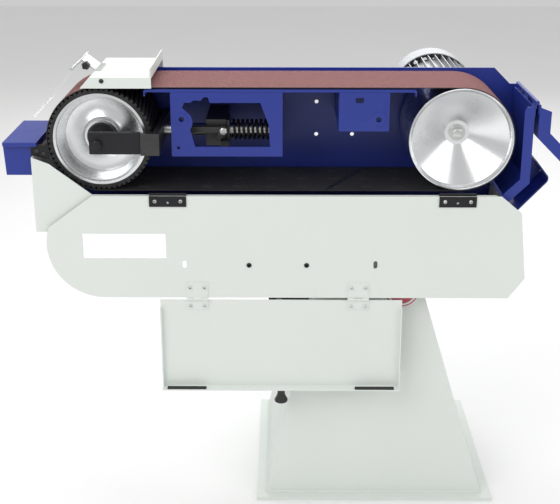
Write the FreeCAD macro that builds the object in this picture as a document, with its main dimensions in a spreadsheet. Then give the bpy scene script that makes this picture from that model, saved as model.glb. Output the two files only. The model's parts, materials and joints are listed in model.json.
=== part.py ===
import FreeCAD, Part
import math
import os
import re

import Sketcher

# Two-wheel belt grinder on a pedestal. Frame: origin on the floor under the middle of the base plate,
# +X to the drive drum's side, +Y from the working side to the motor, +Z up. Millimetres and degrees.

doc = FreeCAD.newDocument("BeltGrinder")
sheet = doc.addObject("Spreadsheet::Sheet", "dims")

drivingSizes = {
    # belt and wheels
    "axis_z": 800, "drum_x": 143, "centres": 686, "wheel_r": 100, "belt_y": -200, "belt_w": 150,
    "belt_t": 1.5, "belt_gap": 0.4, "tyre_t": 10, "axle_r": 10, "shaft_r": 14,
    # sheet metal
    "plate_y": -28, "plate_t": 4, "skin_t": 2.5, "plate_top": 904, "house_l": -673, "house_r": 240,
    "house_z": 619, "trough_z": 695, "wall_y": -216, "side_z": 665, "chute_z": 769,
    # stand
    "base_x": 250, "base_y": 200, "base_t": 8, "col_top": 610, "col_front": -180, "anchor_x": 215,
    "anchor_y": 165, "anchor_r": 7,
    # door and flap
    "door_y": -223.5, "hinge_y": -218.5, "hinge_z": 697, "door_h": 213, "flap_axis_z": 481.5,
    "flap_axis_y": -225, "flap_l": -437, "flap_r": 40, "flap_len": 194, "flap_lip": 18, "flap_side": 9,
    # end cover
    "cover_x": 281, "cover_z": 874, "cover_first": 68, "cover_second": 190, "cover_rim": 23, "knuckle_y": -203,
    # tension slide
    "bar_y": -125, "bar_z": 801, "bar_r": 12, "track_x": -325, "stud_z": 840, "bracket_z": 767,
    "frame_z": 817, "arm_t": 12, "arm_h": 42, "arm_l": -558, "arm_r": -426,
    "guide_l": -345, "guide_r": -306, "spring_l": -299.5, "spring_r": -222, "coil_r": 18, "wire_r": 2.5,
    # motor
    "motor_r": 89, "flange_r": 100, "flange_t": 12, "barrel_y": 16, "motor_end": 190, "cowl_end": 264,
    "box_y": 95,
    # guards and table
    "guard_l": -555, "guard_r": -440, "guard_z": 920, "guard_y": -212, "shield_x": -589,
    "shield_z": 932, "shield_len": 113, "table_l": -727, "table_r": -662, "table_z": 797,
    "port_r": 50, "port_h": 50, "port_y": -122, "port_left": -340, "port_right": 185,
}
for row, (alias, value) in enumerate(drivingSizes.items(), start=1):
    sheet.set(f"A{row}", alias)
    sheet.set(f"B{row}", str(value))
    sheet.setAlias(f"B{row}", alias)
doc.recompute()

wordPattern = re.compile(r"[a-z_]+")
nodes = []
planeRoles = {"XY": "XY_Plane", "XZ": "XZ_Plane", "YZ": "YZ_Plane"}
planeNormals = {"XY": "z", "XZ": "y", "YZ": "x"}


def link(expression):
    """A size or an expression of sheet aliases, with each alias pointed at the sheet."""
    return wordPattern.sub(lambda word: "dims." + word[0] if word[0] in drivingSizes else word[0], str(expression))


def number(expression):
    """The present value of an expression of sheet aliases."""
    return float(sheet.evalExpression(link(expression)))


def place(thing, x=None, y=None, z=None):
    """Binds the coordinates of an object's placement to the sheet."""
    for axis, value in (("x", x), ("y", y), ("z", z)):
        if value is not None:
            thing.setExpression(f"Placement.Base.{axis}", link(value))
    return thing


def node(thing, label):
    """Marks an object as a finished piece, exported under its label."""
    thing.Label = label
    nodes.append(thing)
    return thing


def box(name, x0, x1, y0, y1, z0, z1):
    thing = doc.addObject("Part::Box", name)
    thing.setExpression("Length", link(f"({x1}) - ({x0})"))
    thing.setExpression("Width", link(f"({y1}) - ({y0})"))
    thing.setExpression("Height", link(f"({z1}) - ({z0})"))
    return place(thing, x0, y0, z0)


axisTurns = {
    "x": FreeCAD.Rotation(FreeCAD.Vector(0, 1, 0), 90),
    "y": FreeCAD.Rotation(FreeCAD.Vector(1, 0, 0), -90),
    "z": FreeCAD.Rotation(),
}


def rod(name, axis, x, y, z, radius, length):
    """A cylinder from a point along +X, +Y or +Z."""
    thing = doc.addObject("Part::Cylinder", name)
    thing.Placement = FreeCAD.Placement(FreeCAD.Vector(), axisTurns[axis])
    thing.setExpression("Radius", link(radius))
    thing.setExpression("Height", link(length))
    return place(thing, x, y, z)


def hexagon(name, axis, x, y, z, across, length):
    """A hexagonal prism, by its width across flats."""
    thing = doc.addObject("Part::Prism", name)
    thing.Polygon = 6
    thing.Placement = FreeCAD.Placement(FreeCAD.Vector(), axisTurns[axis])
    thing.setExpression("Circumradius", link(f"({across}) / 1.7320508"))
    thing.setExpression("Height", link(length))
    return place(thing, x, y, z)


def cut(name, base, *tools):
    thing = doc.addObject("Part::Cut", name)
    thing.Base = base
    thing.Tool = tools[0] if len(tools) == 1 else fuse(name + "_tools", *tools)
    return thing


def fuse(name, *pieces):
    thing = doc.addObject("Part::MultiFuse", name)
    thing.Shapes = list(pieces)
    return thing


def group(name, *pieces):
    """Separate solids kept together in one piece."""
    thing = doc.addObject("Part::Compound", name)
    thing.Links = list(pieces)
    return thing


def startBody(name):
    return doc.addObject("PartDesign::Body", name)


def startSketch(body, name, plane):
    sketch = body.newObject("Sketcher::SketchObject", name)
    origin = [f for f in body.Origin.OriginFeatures if f.Role == planeRoles[plane]][0]
    sketch.AttachmentSupport = [(origin, "")]
    sketch.MapMode = "FlatFace"
    return sketch


def hold(sketch, kind, *items):
    """Adds one constraint; a last item that is a string is an expression of sheet aliases."""
    value = items[-1]
    if isinstance(value, str):
        index = sketch.addConstraint(Sketcher.Constraint(kind, *items[:-1], number(value)))
        sketch.setExpression(f"Constraints[{index}]", link(value))
    else:
        index = sketch.addConstraint(Sketcher.Constraint(kind, *items))
    return index


def loop(sketch, corners):
    """A closed outline. Each corner is (across, up), or (across, up, radius, bulge) where the side
    that leaves it is an arc: a positive bulge turns anticlockwise."""
    points = [FreeCAD.Vector(number(c[0]), number(c[1]), 0) for c in corners]
    edges = []
    for i, corner in enumerate(corners):
        start, end = points[i], points[(i + 1) % len(points)]
        if len(corner) == 2:
            edges.append(sketch.addGeometry(Part.LineSegment(start, end), False))
            continue
        radius, bulge = number(corner[2]), corner[3]
        chord = end - start
        middle = (start + end) * 0.5
        side = FreeCAD.Vector(-chord.y, chord.x, 0).normalize()
        rise = math.sqrt(max(radius ** 2 - (chord.Length / 2) ** 2, 0))
        centre = middle + side * (rise if bulge > 0 else -rise)
        apex = centre - side * (radius if bulge > 0 else -radius)
        edges.append(sketch.addGeometry(Part.Arc(start, apex, end), False))
        if rise > 0.001:
            hold(sketch, "Radius", edges[-1], str(corner[2]))
        elif abs(chord.x) > abs(chord.y):
            hold(sketch, "DistanceY", edges[-1], 3, str(corner[1]))
        else:
            hold(sketch, "DistanceX", edges[-1], 3, str(corner[0]))
    for i, edge in enumerate(edges):
        following = edges[(i + 1) % len(edges)]
        arcTurnsBack = len(corners[i]) == 4 and corners[i][3] < 0
        nextTurnsBack = len(corners[(i + 1) % len(edges)]) == 4 and corners[(i + 1) % len(edges)][3] < 0
        hold(sketch, "Coincident", edge, 1 if arcTurnsBack else 2, following, 2 if nextTurnsBack else 1)
        hold(sketch, "DistanceX", edge, 2 if arcTurnsBack else 1, str(corners[i][0]))
        hold(sketch, "DistanceY", edge, 2 if arcTurnsBack else 1, str(corners[i][1]))


def ring(sketch, across, up, radius):
    circle = sketch.addGeometry(
        Part.Circle(FreeCAD.Vector(number(across), number(up), 0), FreeCAD.Vector(0, 0, 1), number(radius)), False)
    hold(sketch, "Radius", circle, str(radius))
    hold(sketch, "DistanceX", circle, 3, str(across))
    hold(sketch, "DistanceY", circle, 3, str(up))


def slot(sketch, across, up, halfWidth, halfLength, upright=True):
    """A round-ended slot by its middle."""
    w, l = halfWidth, halfLength
    if upright:
        loop(sketch, [(f"{across} + {w}", f"{up} - {l}"), (f"{across} + {w}", f"{up} + {l}", w, 1),
                      (f"{across} - {w}", f"{up} + {l}"), (f"{across} - {w}", f"{up} - {l}", w, 1)])
    else:
        loop(sketch, [(f"{across} - {l}", f"{up} - {w}"), (f"{across} + {l}", f"{up} - {w}", w, 1),
                      (f"{across} + {l}", f"{up} + {w}"), (f"{across} - {l}", f"{up} + {w}", w, 1)])


def sheetPiece(name, plane, offset, depth, outlines, holes=()):
    """A flat piece: outlines drawn on a plane at an offset along its normal, thickened towards +."""
    body = startBody(name)
    sketch = startSketch(body, name + "_outline", plane)
    for outline in outlines:
        loop(sketch, outline)
    pad = body.newObject("PartDesign::Pad", name + "_pad")
    pad.Profile = sketch
    pad.Reversed = plane == "XZ"
    pad.setExpression("Length", link(depth))
    place(body, **{planeNormals[plane]: offset})
    doc.recompute()
    if holes:
        pierce(body, name + "_holes", plane, holes)
    return body


def pierce(body, name, plane, holes):
    """Cuts holes through a flat piece. Each is a ring (across, up, radius) or a list of corners."""
    before = body.Shape.Volume
    sketch = startSketch(body, name, plane)
    for hole in holes:
        if isinstance(hole, list):
            loop(sketch, hole)
        elif len(hole) == 3:
            ring(sketch, *hole)
        else:
            slot(sketch, *hole)
    pocket = body.newObject("PartDesign::Pocket", name + "_cut")
    pocket.Profile = sketch
    pocket.Type = 1
    pocket.Reversed = plane != "XZ"
    doc.recompute()
    if body.Shape.Volume >= before - 1:
        raise RuntimeError(f"{name} cuts nothing")


def turned(name, x, y, z, profile, angle=360):
    """A turned piece about the Y direction through a point: profile corners are (along Y, radius)."""
    body = startBody(name)
    sketch = startSketch(body, name + "_profile", "YZ")
    loop(sketch, profile)
    revolution = body.newObject("PartDesign::Revolution", name + "_turn")
    revolution.Profile = sketch
    revolution.ReferenceAxis = (sketch, ["H_Axis"])
    revolution.Angle = angle
    place(body, x, y, z)
    doc.recompute()
    return body


# ---- the stand ----
def hollowLoft(name, lower, upper, inset):
    """A tapered hollow post between two rectangles (x0, x1, y0, y1, z)."""
    body = startBody(name)
    shells = []
    for part, shrink in (("outer", "0"), ("inner", inset)):
        sections = []
        for end, (x0, x1, y0, y1, z) in (("low", lower), ("high", upper)):
            sketch = startSketch(body, f"{name}_{part}_{end}", "XY")
            sketch.setExpression("AttachmentOffset.Base.z", link(z))
            loop(sketch, [(f"{x0} + {shrink}", f"{y0} + {shrink}"), (f"{x1} - {shrink}", f"{y0} + {shrink}"),
                          (f"{x1} - {shrink}", f"{y1} - {shrink}"), (f"{x0} + {shrink}", f"{y1} - {shrink}")])
            sections.append(sketch)
        kind = "PartDesign::AdditiveLoft" if part == "outer" else "PartDesign::SubtractiveLoft"
        loft = body.newObject(kind, f"{name}_{part}")
        loft.Profile = sections[0]
        loft.Sections = [sections[1]]
        loft.Ruled = True
        shells.append(loft)
        doc.recompute()
    if shells[1].Shape.Volume >= shells[0].Shape.Volume:
        raise RuntimeError(f"{name} isn't hollow")
    return body


columnFoot = ("-base_x + 20", "base_x - 20", "col_front", "base_y - 5", "base_t")
columnHead = ("-104", "47", "col_front", "30", "col_top")
node(fuse("pedestal", hollowLoft("column", columnFoot, columnHead, "3"),
          box("head", "-150", "100", "col_front - 12", "42", "col_top", "house_z")), "stand_column")

anchors = [(f"{sx} * anchor_x", f"{sy} * anchor_y", "anchor_r") for sx in (-1, 1) for sy in (-1, 1)]
node(sheetPiece("foot", "XY", "0", "base_t",
                [[("-base_x", "-base_y"), ("base_x", "-base_y"), ("base_x", "base_y"), ("-base_x", "base_y")]],
                anchors), "stand_base_plate")
node(rod("badge", "y", "44", "col_front - 2", "479", "33", "2"), "stand_badge")

# switch box: its inner wall follows the slope of the column
boxFace = "-120"
switchShell = sheetPiece("switch_shell", "XZ", boxFace, "95",
                         [[("-225", "350"), ("-161", "350"), ("-140.5", "450"), ("-225", "450")]],
                         [("knuckle_y", "420", "11.5"), ("knuckle_y", "382", "11.5")])
node(cut("switch_housing", switchShell,
         box("switch_room", "-222", "-166", "-117", "-28", "353", "447")), "switch_box")


def button(name, z, capR, capT):
    """A push button: a stem through the box's face and a cap in front of it."""
    stem = rod(name + "_stem", "y", "knuckle_y", f"{boxFace} - 8", z, "11", "24")
    cap = rod(name + "_cap", "y", "knuckle_y", f"{boxFace} - 8 - {capT}", z, capR, capT)
    return fuse(name, stem, cap)


node(button("go", "420", "12.5", "4"), "start_button")
node(button("halt", "382", "17", "9"), "stop_button")

# ---- the housing under the belt ----
wheelX = "(drum_x - centres)"
frontWall = sheetPiece("front_wall", "XZ", "wall_y", "skin_t",
                       [[("house_l", "house_z"), ("house_r", "house_z"), ("house_r", "side_z"),
                         ("214", "trough_z"), ("-561", "trough_z"), ("-640", "756"), ("house_l", "chute_z")]])
troughFloor = sheetPiece("trough_floor", "XY", "house_z", "skin_t",
                         [[("house_l", "wall_y"), ("house_r", "wall_y"), ("house_r", "plate_y"),
                           ("house_l", "plate_y")]],
                         [("port_left", "port_y", "port_r - 3"), ("port_right", "port_y", "port_r - 3")])
leftWall = box("left_wall", "house_l", "house_l + skin_t", "wall_y", "plate_y", "house_z", "chute_z")
rightWall = box("right_wall", "house_r - skin_t", "house_r", "wall_y", "plate_y", "house_z", "side_z")
node(fuse("trough", frontWall, troughFloor, leftWall, rightWall), "lower_housing")

ports = []
for side in ("left", "right"):
    pipe = rod(f"port_{side}_pipe", "z", f"port_{side}", "port_y", "house_z - port_h", "port_r", "port_h")
    collar = rod(f"port_{side}_collar", "z", f"port_{side}", "port_y", "house_z - 3", "port_r + 12", "3")
    hollow = rod(f"port_{side}_hollow", "z", f"port_{side}", "port_y", "house_z - port_h - 1", "port_r - 3",
                 "port_h + 2")
    ports.append(cut(f"port_{side}_tube", fuse(f"port_{side}_solid", pipe, collar), hollow))
node(group("port_pair", *ports), "dust_ports")

chuteLine = [("-675", "chute_z + 0.2"), ("-670", "chute_z + 0.2"), ("-640", "762"), ("-645", "791"), ("-675", "791")]
node(sheetPiece("chute_side", "XZ", "belt_y - 5", "skin_t", [chuteLine]), "chute_side_plate")

# ---- the back plate and the right-hand end ----
flangeBolts = [(f"drum_x + {sx} * 58.3", f"axis_z + {sz} * 58.3", "5.5") for sx in (-1, 1) for sz in (-1, 1)]
plateHoles = [(x, z, "4") for x in ("-127", "-53") for z in ("764", "833")]
node(sheetPiece("rear_plate", "XZ", "plate_y", "plate_t",
                [[("house_l", "house_z"), ("280", "house_z"), ("280", "871"), ("266", "871"),
                  ("233", "plate_top"), ("-562", "plate_top"), ("-600", "871"), ("-636", "805"), ("house_l", "775")]],
                flangeBolts + plateHoles + [("drum_x", "axis_z", "40"), ("track_x", "bar_z", "6.5")]), "back_plate")

endBand = [("276.5", "866"), ("274", "866"), ("274", "717"), ("236.5", "679.5"), ("238.3", "677.7"),
           ("276.5", "715.9")]
endFlange = [("276.5", "866"), ("262", "866"), ("258", "859"), ("258", "723.6"), ("225", "690.6"),
             ("238.3", "677.7"), ("276.5", "715.9")]
node(fuse("end_sheet",
          sheetPiece("end_band", "XZ", "belt_y - 3", "plate_y - belt_y + 3", [endBand]),
          sheetPiece("end_flange", "XZ", "belt_y - 5.5", "2.5", [endFlange])), "end_wall")

# rounded deflector under the drum's corner: a bent band on a web bolted behind the back plate
deflectorBand = [("284", "613"), ("341", "676", "14", 1), ("344", "692"), ("319", "724"), ("317.2", "722.2"),
                 ("341.9", "690.6", "11.5", -1), ("339.2", "677.7"), ("282.2", "614.7")]
deflectorWeb = [("250", "625"), ("293", "625"), ("341", "678"), ("343", "691"), ("319", "722"), ("250", "722")]
node(fuse("deflector_sheet",
          sheetPiece("deflector_band", "XZ", "-84", "62.5", [deflectorBand]),
          sheetPiece("deflector_web", "XZ", "plate_y + plate_t", "skin_t", [deflectorWeb])), "dust_deflector")

# ---- inside the belt loop ----
under = "(axis_z + wheel_r - 2)"
platenSection = [("-457", f"{under} - 14"), ("-454", f"{under} - 14"), ("-454", f"{under} - 8"),
                 ("-452", f"{under} - 6"), ("50", f"{under} - 6"), ("52", f"{under} - 8"),
                 ("52", f"{under} - 14"), ("55", f"{under} - 14"), ("55", f"{under} - 5", "5", 1),
                 ("50", under), ("-452", under, "5", 1), ("-457", f"{under} - 5")]
node(sheetPiece("platen_sheet", "XZ", "belt_y", "plate_y - belt_y", [platenSection]), "platen")

tensionTop = f"{under} - 6"
tensionFront = [("-407", "bracket_z"), ("-196", "bracket_z"), ("-196", tensionTop), ("-407", tensionTop)]
tensionWindow = [("-362", "786"), ("-220", "786"), ("-222", "828"), ("-238", "872"), ("-333", "872"),
                 ("-336", "882", "9.5", 1), ("-349", "876"), ("-357", "876", "9.5", 1), ("-369", "872"),
                 ("-381", "872"), ("-385", "862"), ("-374", "852", "24", -1), ("-371", "820")]
tensionFace = sheetPiece("tension_face", "XZ", "belt_y", "3", [tensionFront],
                         [tensionWindow, ("-387", "stud_z", "5"), ("-394", "784", "3")])
tensionLeft = box("tension_left", "-407", "-404", "belt_y", "belt_y + 26", "bracket_z", tensionTop)
tensionRight = sheetPiece("tension_right", "YZ", "-199", "3",
                          [[("belt_y", "bracket_z"), ("plate_y", "bracket_z"), ("plate_y", tensionTop),
                            ("belt_y", tensionTop)]],
                          [("bar_y", "bar_z", "bar_r + 2"), ("-60", "858", "4"), ("-60", "845", "4"),
                           ("-60", "784", "4")])
tensionTopFlange = box("tension_shelf", "-407", "-196", "belt_y", "belt_y + 20", f"{tensionTop} - 3", tensionTop)
tensionBoss = cut("tension_boss", rod("tension_stud", "y", "-387", "belt_y - 1", "stud_z", "12", "9"),
                  rod("tension_thread", "y", "-387", "belt_y - 2", "stud_z", "5", "12"))
node(fuse("tension_sheet", tensionFace, tensionLeft, tensionRight, tensionTopFlange, tensionBoss),
     "tension_bracket")

platenFront = [("-90", "frame_z"), ("5", "frame_z"), ("5", tensionTop), ("-90", tensionTop)]
bone = [("-58", "872"), ("-45", "872", "9.5", 1), ("-45", "882"), ("-58", "882", "9.5", 1)]
platenFace = sheetPiece("platen_face", "XZ", "belt_y", "3", [platenFront], [bone, ("-15", "stud_z", "5")])
platenWalls = [box(f"platen_wall_{side}", x0, x1, "belt_y", "plate_y", "frame_z", tensionTop)
               for side, x0, x1 in (("left", "-90", "-87"), ("right", "2", "5"))]
platenBoss = cut("platen_boss", rod("platen_stud", "y", "-15", "belt_y - 1", "stud_z", "14", "9"),
                 rod("platen_thread", "y", "-15", "belt_y - 2", "stud_z", "5", "12"))
node(fuse("platen_box", platenFace, *platenWalls, platenBoss), "platen_bracket")

guide = cut("guide_solid", box("guide_body", "guide_l", "guide_r", "bar_y - 25", "plate_y", "775", "827"),
            rod("guide_bore", "x", "guide_l - 1", "bar_y", "bar_z", "bar_r + 0.05", "60"))
node(guide, "slide_guide")
stop = cut("stop_solid", box("stop_body", "spring_r", "-199", "bar_y - 22", "bar_y + 22", "779", "823"),
           rod("stop_bore", "x", "spring_r - 1", "bar_y", "bar_z", "bar_r + 0.1", "30"))
node(stop, "spring_stop")

# ---- the sliding fork, its spring and its lever ----
node(box("front_arm_bar", "arm_l", "-462", "belt_y - 32", "belt_y - 20", "axis_z - 20", "axis_z + 22"),
     "front_arm")
forkHead = box("fork_head", "-462", "arm_r", "belt_y - 34", "belt_y - 20", "axis_z - 22", "axis_z + 20")
forkLeg = box("fork_leg", "arm_r - 14", "arm_r - 2", "belt_y - 20", "-46", "axis_z - 20", "axis_z + 20")
node(fuse("fork_bridge", forkHead, forkLeg), "fork_cross_block")
node(box("rear_arm_bar", "arm_l", "arm_r", "-46", "-36", "axis_z - 20", "axis_z + 20"), "rear_arm")
node(rod("bar", "x", "arm_r - 2", "bar_y", "bar_z", "bar_r", "216"), "slide_bar")
pusher = cut("pusher_plate",
             fuse("pusher_solid",
                  box("pusher_body", "guide_r + 0.5", "spring_l", "bar_y - 22", "bar_y + 24", "777", "825"),
                  box("pusher_arm", "guide_r + 0.5", "spring_l", "bar_y - 47", "bar_y - 22", "777", "788.5"),
                  box("pusher_lug", "-316", "guide_r + 0.5", "bar_y - 47", "bar_y - 26", "779", "788.5")),
             rod("pusher_bore", "x", "-320", "bar_y", "bar_z", "bar_r", "30"))
node(pusher, "spring_plate")

coils = 8
coilPitch = (number("spring_r") - number("spring_l") - 2 * number("wire_r") - 1) / coils
helix = Part.makeHelix(coilPitch, coilPitch * coils, number("coil_r"))
wireStart = Part.Wire(Part.makeCircle(number("wire_r"), FreeCAD.Vector(number("coil_r"), 0, 0),
                                      FreeCAD.Vector(0, 1, 0)))
spring = doc.addObject("Part::Feature", "coil")
spring.Shape = Part.Wire(helix).makePipeShell([wireStart], True, True)
spring.Placement = FreeCAD.Placement(FreeCAD.Vector(), axisTurns["x"])
place(spring, "spring_l + wire_r + 0.5", "bar_y", "bar_z")
node(spring, "tension_spring")

# a short foot under the pivot pushes the lug; the long handle lies to the left
leverX, leverZ = "-310.5", "808"
leverHub = rod("lever_hub", "y", leverX, "bar_y - 39", leverZ, "9", "8")
leverToe = rod("lever_toe", "y", f"{leverX} - 10", "bar_y - 39", f"{leverZ} - 17.3", "4", "8")
leverPlate = sheetPiece("lever_plate", "XZ", "bar_y - 39", "8",
                        [[(f"{leverX} - 13.5", f"{leverZ} - 15.3"), (f"{leverX} - 6.5", f"{leverZ} - 19.3"),
                          (f"{leverX} + 7", f"{leverZ} - 5"), (f"{leverX} + 5", f"{leverZ} + 7"),
                          (f"{leverX} - 62", f"{leverZ} + 8", "6.1", 1), (f"{leverX} - 62", f"{leverZ} - 4"),
                          (f"{leverX} - 10", f"{leverZ} - 4")]])
leverBore = rod("lever_bore", "y", leverX, "bar_y - 45", leverZ, "4.1", "20")
node(cut("lever", fuse("lever_solid", leverHub, leverToe, leverPlate), leverBore), "tension_lever")
leverBolt = fuse("lever_bolt_set", rod("lever_shank", "y", leverX, "bar_y - 40", leverZ, "4", "15"),
                 hexagon("lever_head", "y", leverX, "bar_y - 46", leverZ, "13", "6"))

knobBody = rod("tracking_grip", "y", "track_x", "plate_y + plate_t + 6", "bar_z", "20", "22")
knobStem = rod("tracking_stem", "y", "track_x", "plate_y + 0.5", "bar_z", "6", "10")
node(fuse("tracking", knobBody, knobStem), "tracking_knob")

# ---- wheels and belt ----
hubSection = [("belt_y + 1", "82"), ("belt_y + 1", "wheel_r - tyre_t"), ("belt_y + 149", "wheel_r - tyre_t"),
              ("belt_y + 149", "84"), ("belt_y + 48", "80"), ("belt_y + 42", "34"), ("belt_y + 98", "34"),
              ("belt_y + 98", "23.5"), ("belt_y + 22", "23.5"), ("belt_y + 22", "34"), ("belt_y + 34", "44"),
              ("belt_y + 38", "72"), ("belt_y + 8", "82")]
node(turned("hub", wheelX, "0", "axis_z", hubSection), "contact_wheel_hub")
node(turned("tyre", wheelX, "0", "axis_z",
            [("belt_y", "wheel_r - tyre_t"), ("belt_y", "wheel_r - 1.5", "1.5", -1),
             ("belt_y + 1.5", "wheel_r"), ("belt_y + belt_w - 1.5", "wheel_r", "1.5", -1),
             ("belt_y + belt_w", "wheel_r - 1.5"), ("belt_y + belt_w", "wheel_r - tyre_t")]), "contact_wheel_tyre")
bearings = [cut(f"bearing_{i}", rod(f"bearing_{i}_outer", "y", wheelX, y, "axis_z", "23.5", "14"),
                rod(f"bearing_{i}_bore", "y", wheelX, f"{y} - 1", "axis_z", "axle_r + 0.05", "16"))
            for i, y in ((1, "belt_y + 22.5"), (2, "belt_y + 83.5"))]
node(group("bearings", *bearings), "wheel_bearings")
node(rod("axle", "y", wheelX, "belt_y - 20", "axis_z", "axle_r", "174"), "wheel_axle")
axleBolts = [fuse("axle_bolt_front", hexagon("axle_head_front", "y", wheelX, "belt_y - 41", "axis_z", "17", "7"),
                  rod("axle_washer_front", "y", wheelX, "belt_y - 34", "axis_z", "12", "2")),
             hexagon("axle_head_rear", "y", wheelX, "-36", "axis_z", "17", "6")]
node(group("axle_bolts_set", *axleBolts), "axle_bolts")

drumSection = [("belt_y - 2", "97"), ("belt_y - 2", "wheel_r - 1", "1", -1), ("belt_y - 1", "wheel_r"),
               ("belt_y + 154", "wheel_r"), ("belt_y + 154", "92"), ("belt_y + 76", "88"),
               ("belt_y + 72", "30"), ("belt_y + 122", "30"), ("belt_y + 122", "shaft_r"),
               ("belt_y + 66", "shaft_r"), ("belt_y + 66", "7"), ("belt_y + 56", "7"), ("belt_y + 56", "24"),
               ("belt_y + 8", "92"), ("belt_y + 3", "94")]
node(turned("drum", "drum_x", "0", "axis_z", drumSection), "drive_drum")
drumBolt = fuse("drum_screw", hexagon("drum_head", "y", "drum_x", "belt_y + 45", "axis_z", "19", "8"),
                rod("drum_shank", "y", "drum_x", "belt_y + 53", "axis_z", "6", "12.9"))
drumWasher = cut("drum_ring", rod("drum_disc", "y", "drum_x", "belt_y + 53", "axis_z", "16", "3"),
                 rod("drum_disc_bore", "y", "drum_x", "belt_y + 52", "axis_z", "6.1", "6"))
node(group("drum_fixing", drumBolt, drumWasher), "drum_bolt")

beltInner, beltOuter = "(wheel_r + belt_gap)", "(wheel_r + belt_gap + belt_t)"
beltBody = sheetPiece("belt", "XZ", "belt_y", "belt_w",
                      [[(wheelX, f"axis_z - {radius}"), ("drum_x", f"axis_z - {radius}", radius, 1),
                        ("drum_x", f"axis_z + {radius}"), (wheelX, f"axis_z + {radius}", radius, 1)]
                       for radius in (beltOuter, beltInner)])
node(beltBody, "abrasive_belt")

# ---- motor ----
flangeY = "(plate_y + plate_t)"
motorFlange = turned("flange", "drum_x", "0", "axis_z",
                     [(flangeY, "30"), (flangeY, "flange_r"), (f"{flangeY} + flange_t", "flange_r"),
                      (f"{flangeY} + flange_t + 14", "76"), ("barrel_y", "76"), ("barrel_y", "30")])
flangeHoles = [rod(f"flange_hole_{i}", "y", hole[0], f"{flangeY} - 1", hole[1], "5.5", "30")
               for i, hole in enumerate(flangeBolts)]
node(cut("motor_face", motorFlange, *flangeHoles), "motor_flange")

finBody = turned("motor_barrel", "drum_x", "0", "axis_z",
                 [("barrel_y", "62"), ("barrel_y", "77"), ("motor_end", "77"), ("motor_end", "62")])
finSketch = startSketch(finBody, "fin_outline", "XZ")
finSketch.setExpression("AttachmentOffset.Base.z", link("-barrel_y"))
loop(finSketch, [("-1.4", "75"), ("1.4", "75"), ("0.9", "motor_r"), ("-0.9", "motor_r")])
fin = finBody.newObject("PartDesign::Pad", "fin")
fin.Profile = finSketch
fin.Reversed = True
fin.setExpression("Length", link("motor_end - barrel_y"))
doc.recompute()
fins = finBody.newObject("PartDesign::PolarPattern", "fins")
fins.Originals = [fin]
fins.Axis = (finSketch, ["N_Axis"])
fins.Angle = 360
fins.Occurrences = 36
finBody.Tip = fins
doc.recompute()
node(finBody, "motor_body")

cowlShell = turned("cowl_sheet", "drum_x", "0", "axis_z",
                   [("motor_end + 0.5", "motor_r + 1"), ("motor_end + 0.5", "motor_r + 3"),
                    ("cowl_end - 12", "motor_r + 3", "12", -1), ("cowl_end", "motor_r - 9"),
                    ("cowl_end", "10"), ("cowl_end - 2", "10"), ("cowl_end - 2", "motor_r - 10"),
                    ("cowl_end - 12", "motor_r + 1")])
grille = [rod(f"grille_{ringIndex}_{i}", "y",
              f"drum_x + {reach} * cos({i * 360 / count})", "cowl_end - 8",
              f"axis_z + {reach} * sin({i * 360 / count})", "5", "16")
          for ringIndex, (reach, count) in enumerate(((28, 8), (46, 12), (64, 18))) for i in range(count)]
node(cut("cowl", cowlShell, *grille), "fan_cowl")

fanHub = rod("fan_hub", "y", "drum_x", "motor_end + 18", "axis_z", "22", "24")
fanDisc = rod("fan_disc", "y", "drum_x", "motor_end + 18", "axis_z", "74", "3")
blades = []
for i in range(8):
    blade = doc.addObject("Part::Box", f"fan_blade_{i}")
    blade.Length, blade.Width, blade.Height = 52, 22, 2.5
    blade.Placement = FreeCAD.Placement(FreeCAD.Vector(), FreeCAD.Rotation(FreeCAD.Vector(0, -1, 0), i * 45))
    place(blade, f"drum_x + 20 * cos({i * 45})", "motor_end + 20", f"axis_z + 20 * sin({i * 45})")
    blades.append(blade)
node(fuse("fan", fanHub, fanDisc, *blades), "cooling_fan")
shaft = fuse("rotor", rod("shaft_long", "y", "drum_x", "belt_y + 66", "axis_z", "shaft_r - 0.02", "318"),
             rod("rotor_core", "y", "drum_x", "40", "axis_z", "52", "110"))
node(shaft, "motor_shaft")
boxTop, boxHalf = "(axis_z - motor_r)", 45
node(box("terminal", f"drum_x - {boxHalf}", f"drum_x + {boxHalf}", f"box_y - {boxHalf}", f"box_y + {boxHalf}",
         f"{boxTop} - 48", boxTop), "terminal_box")
glandX, glandZ = f"drum_x + {boxHalf}", f"{boxTop} - 24"
gland = fuse("gland_solid", hexagon("gland_nut", "x", glandX, "box_y", glandZ, "24", "14"),
             rod("gland_tip", "x", f"{glandX} + 12", "box_y", glandZ, "9", "14"))
node(cut("gland", gland, rod("gland_bore", "x", f"{glandX} + 2", "box_y", glandZ, "5", "26")), "cable_gland")
motorBolts = [fuse(f"motor_bolt_{i}", rod(f"motor_shank_{i}", "y", x, "plate_y - 3", z, "5", "26"),
                   hexagon(f"motor_head_{i}", "y", x, "plate_y - 8", z, "16", "5.5"))
              for i, (x, z, r) in enumerate(flangeBolts)]
node(group("motor_bolt_set", *motorBolts), "motor_bolts")

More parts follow.
